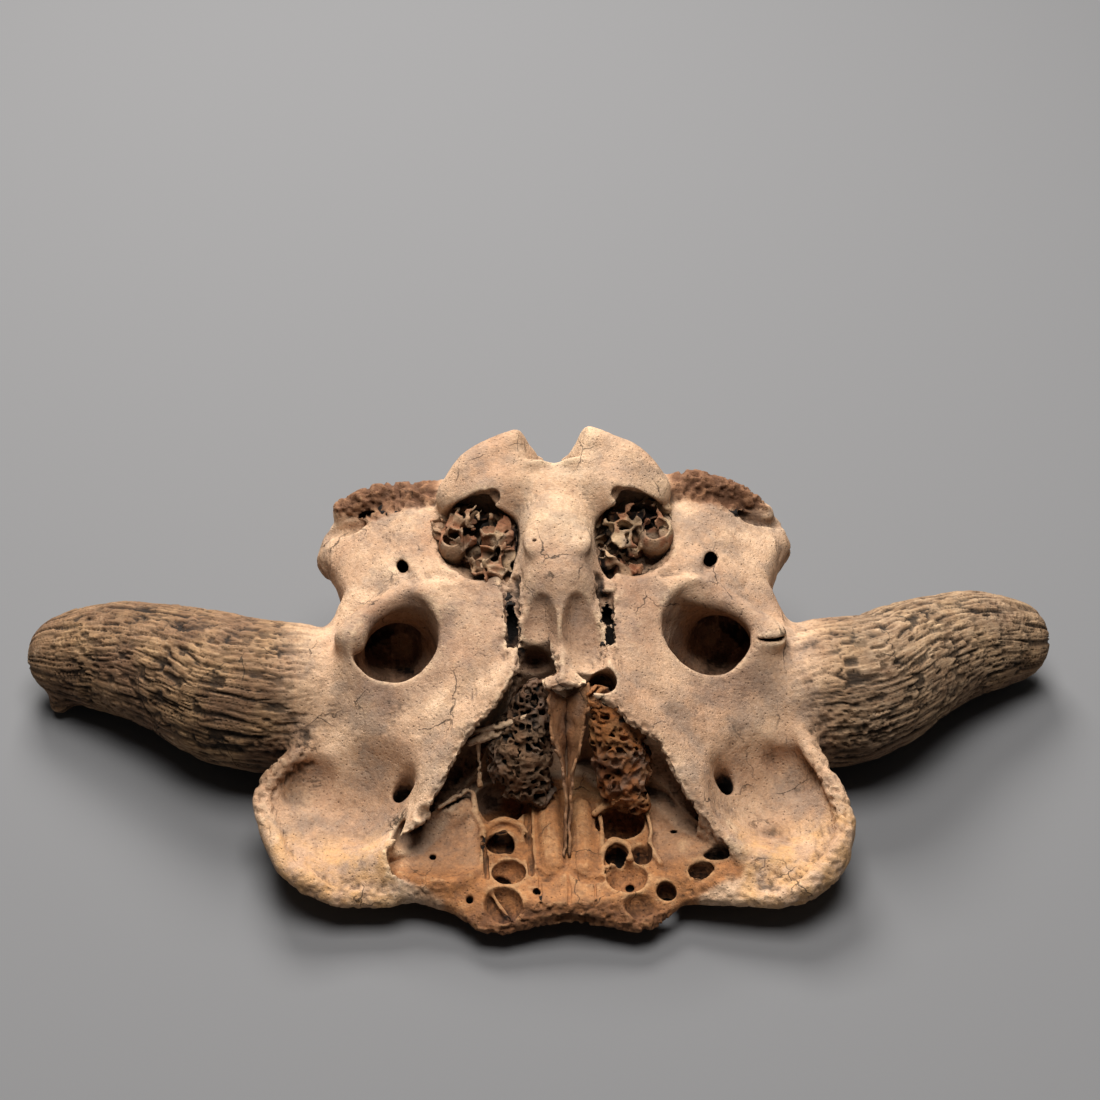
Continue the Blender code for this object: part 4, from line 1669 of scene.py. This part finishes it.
@dataclass
class Studio:
    """The pale floor, the soft lights and the camera at the photograph's angle."""

    elevation: float = 42.0
    azimuth: float = -2.0
    distance: float = 1.63
    target: Point = (0.011, 0.199, 0.0)
    lens: float = 82.6

    def floor(self) -> None:
        """Lays the plain pale floor."""
        mesh = bpy.data.meshes.new("studio_floor")
        shape = bmesh.new()
        bmesh.ops.create_grid(shape, x_segments=1, y_segments=1, size=6.0)
        shape.to_mesh(mesh)
        shape.free()
        ground = bpy.data.objects.new("studio_floor", mesh)
        bpy.context.scene.collection.objects.link(ground)
        mat = bpy.data.materials.new("painted_studio_floor")
        mat.use_nodes = True
        shader = mat.node_tree.nodes["Principled BSDF"]
        shader.inputs["Base Color"].default_value = linear("#727273")
        shader.inputs["Roughness"].default_value = 0.9
        mesh.materials.append(mat)

    def lamp(self, name: str, place: Point, size: float, power: float, tint: str) -> None:
        """Hangs one square soft light that points at the skull."""
        light = bpy.data.lights.new(name, "AREA")
        light.size = size
        light.energy = power
        light.color = linear(tint)[:3]
        thing = bpy.data.objects.new(name, light)
        thing.location = place
        thing.rotation_euler = (Vector((0, 0, 0.05)) - Vector(place)).to_track_quat("-Z", "Y").to_euler()
        bpy.context.scene.collection.objects.link(thing)

    def lights(self) -> None:
        """Hangs the lights and sets the dim surroundings."""
        self.lamp("key_light", (-0.25, 1.4, 1.55), 0.9, 52.0, "#fffdfa")
        self.lamp("top_light", (0.0, 0.0, 2.3), 1.2, 56.0, "#fffdfb")
        world = bpy.data.worlds.new("studio_air")
        world.use_nodes = True
        back = world.node_tree.nodes["Background"]
        back.inputs["Color"].default_value = linear("#bcbcbc")
        back.inputs["Strength"].default_value = 0.08
        bpy.context.scene.world = world

    def camera(self) -> None:
        """Sets the camera where the photograph was taken from."""
        data = bpy.data.cameras.new("photo_camera")
        data.lens = self.lens
        data.sensor_width = 36.0
        data.clip_end = 50.0
        thing = bpy.data.objects.new("photo_camera", data)
        a, e = math.radians(self.azimuth), math.radians(self.elevation)
        back = Vector((math.sin(a) * math.cos(e), -math.cos(a) * math.cos(e), math.sin(e)))
        thing.location = Vector(self.target) + back * self.distance
        thing.rotation_mode = "QUATERNION"
        thing.rotation_quaternion = (-back).to_track_quat("-Z", "Y")
        bpy.context.scene.collection.objects.link(thing)
        bpy.context.scene.camera = thing

    def build(self) -> None:
        """Sets up the whole studio."""
        self.floor()
        self.lights()
        self.camera()
        bpy.context.scene.view_settings.view_transform = "Standard"


def main() -> None:
    """Builds the studio and every piece of the skull."""
    logging.basicConfig(level=logging.INFO, format="%(name)s %(relativeCreated)d ms: %(message)s")
    Studio().build()
    strokes = skull_strokes()
    cavities = CavityMap()
    cavities.measure(strokes)
    log.info("hollows and edges measured")
    pieces = SkullPieces(1.14)
    pieces.make(strokes, cavities)
    for piece in scroll_pieces() + ear_pieces():
        piece.make(cavities, 1.0)
    make_septum(cavities)


if __name__ == "__main__":
    main()
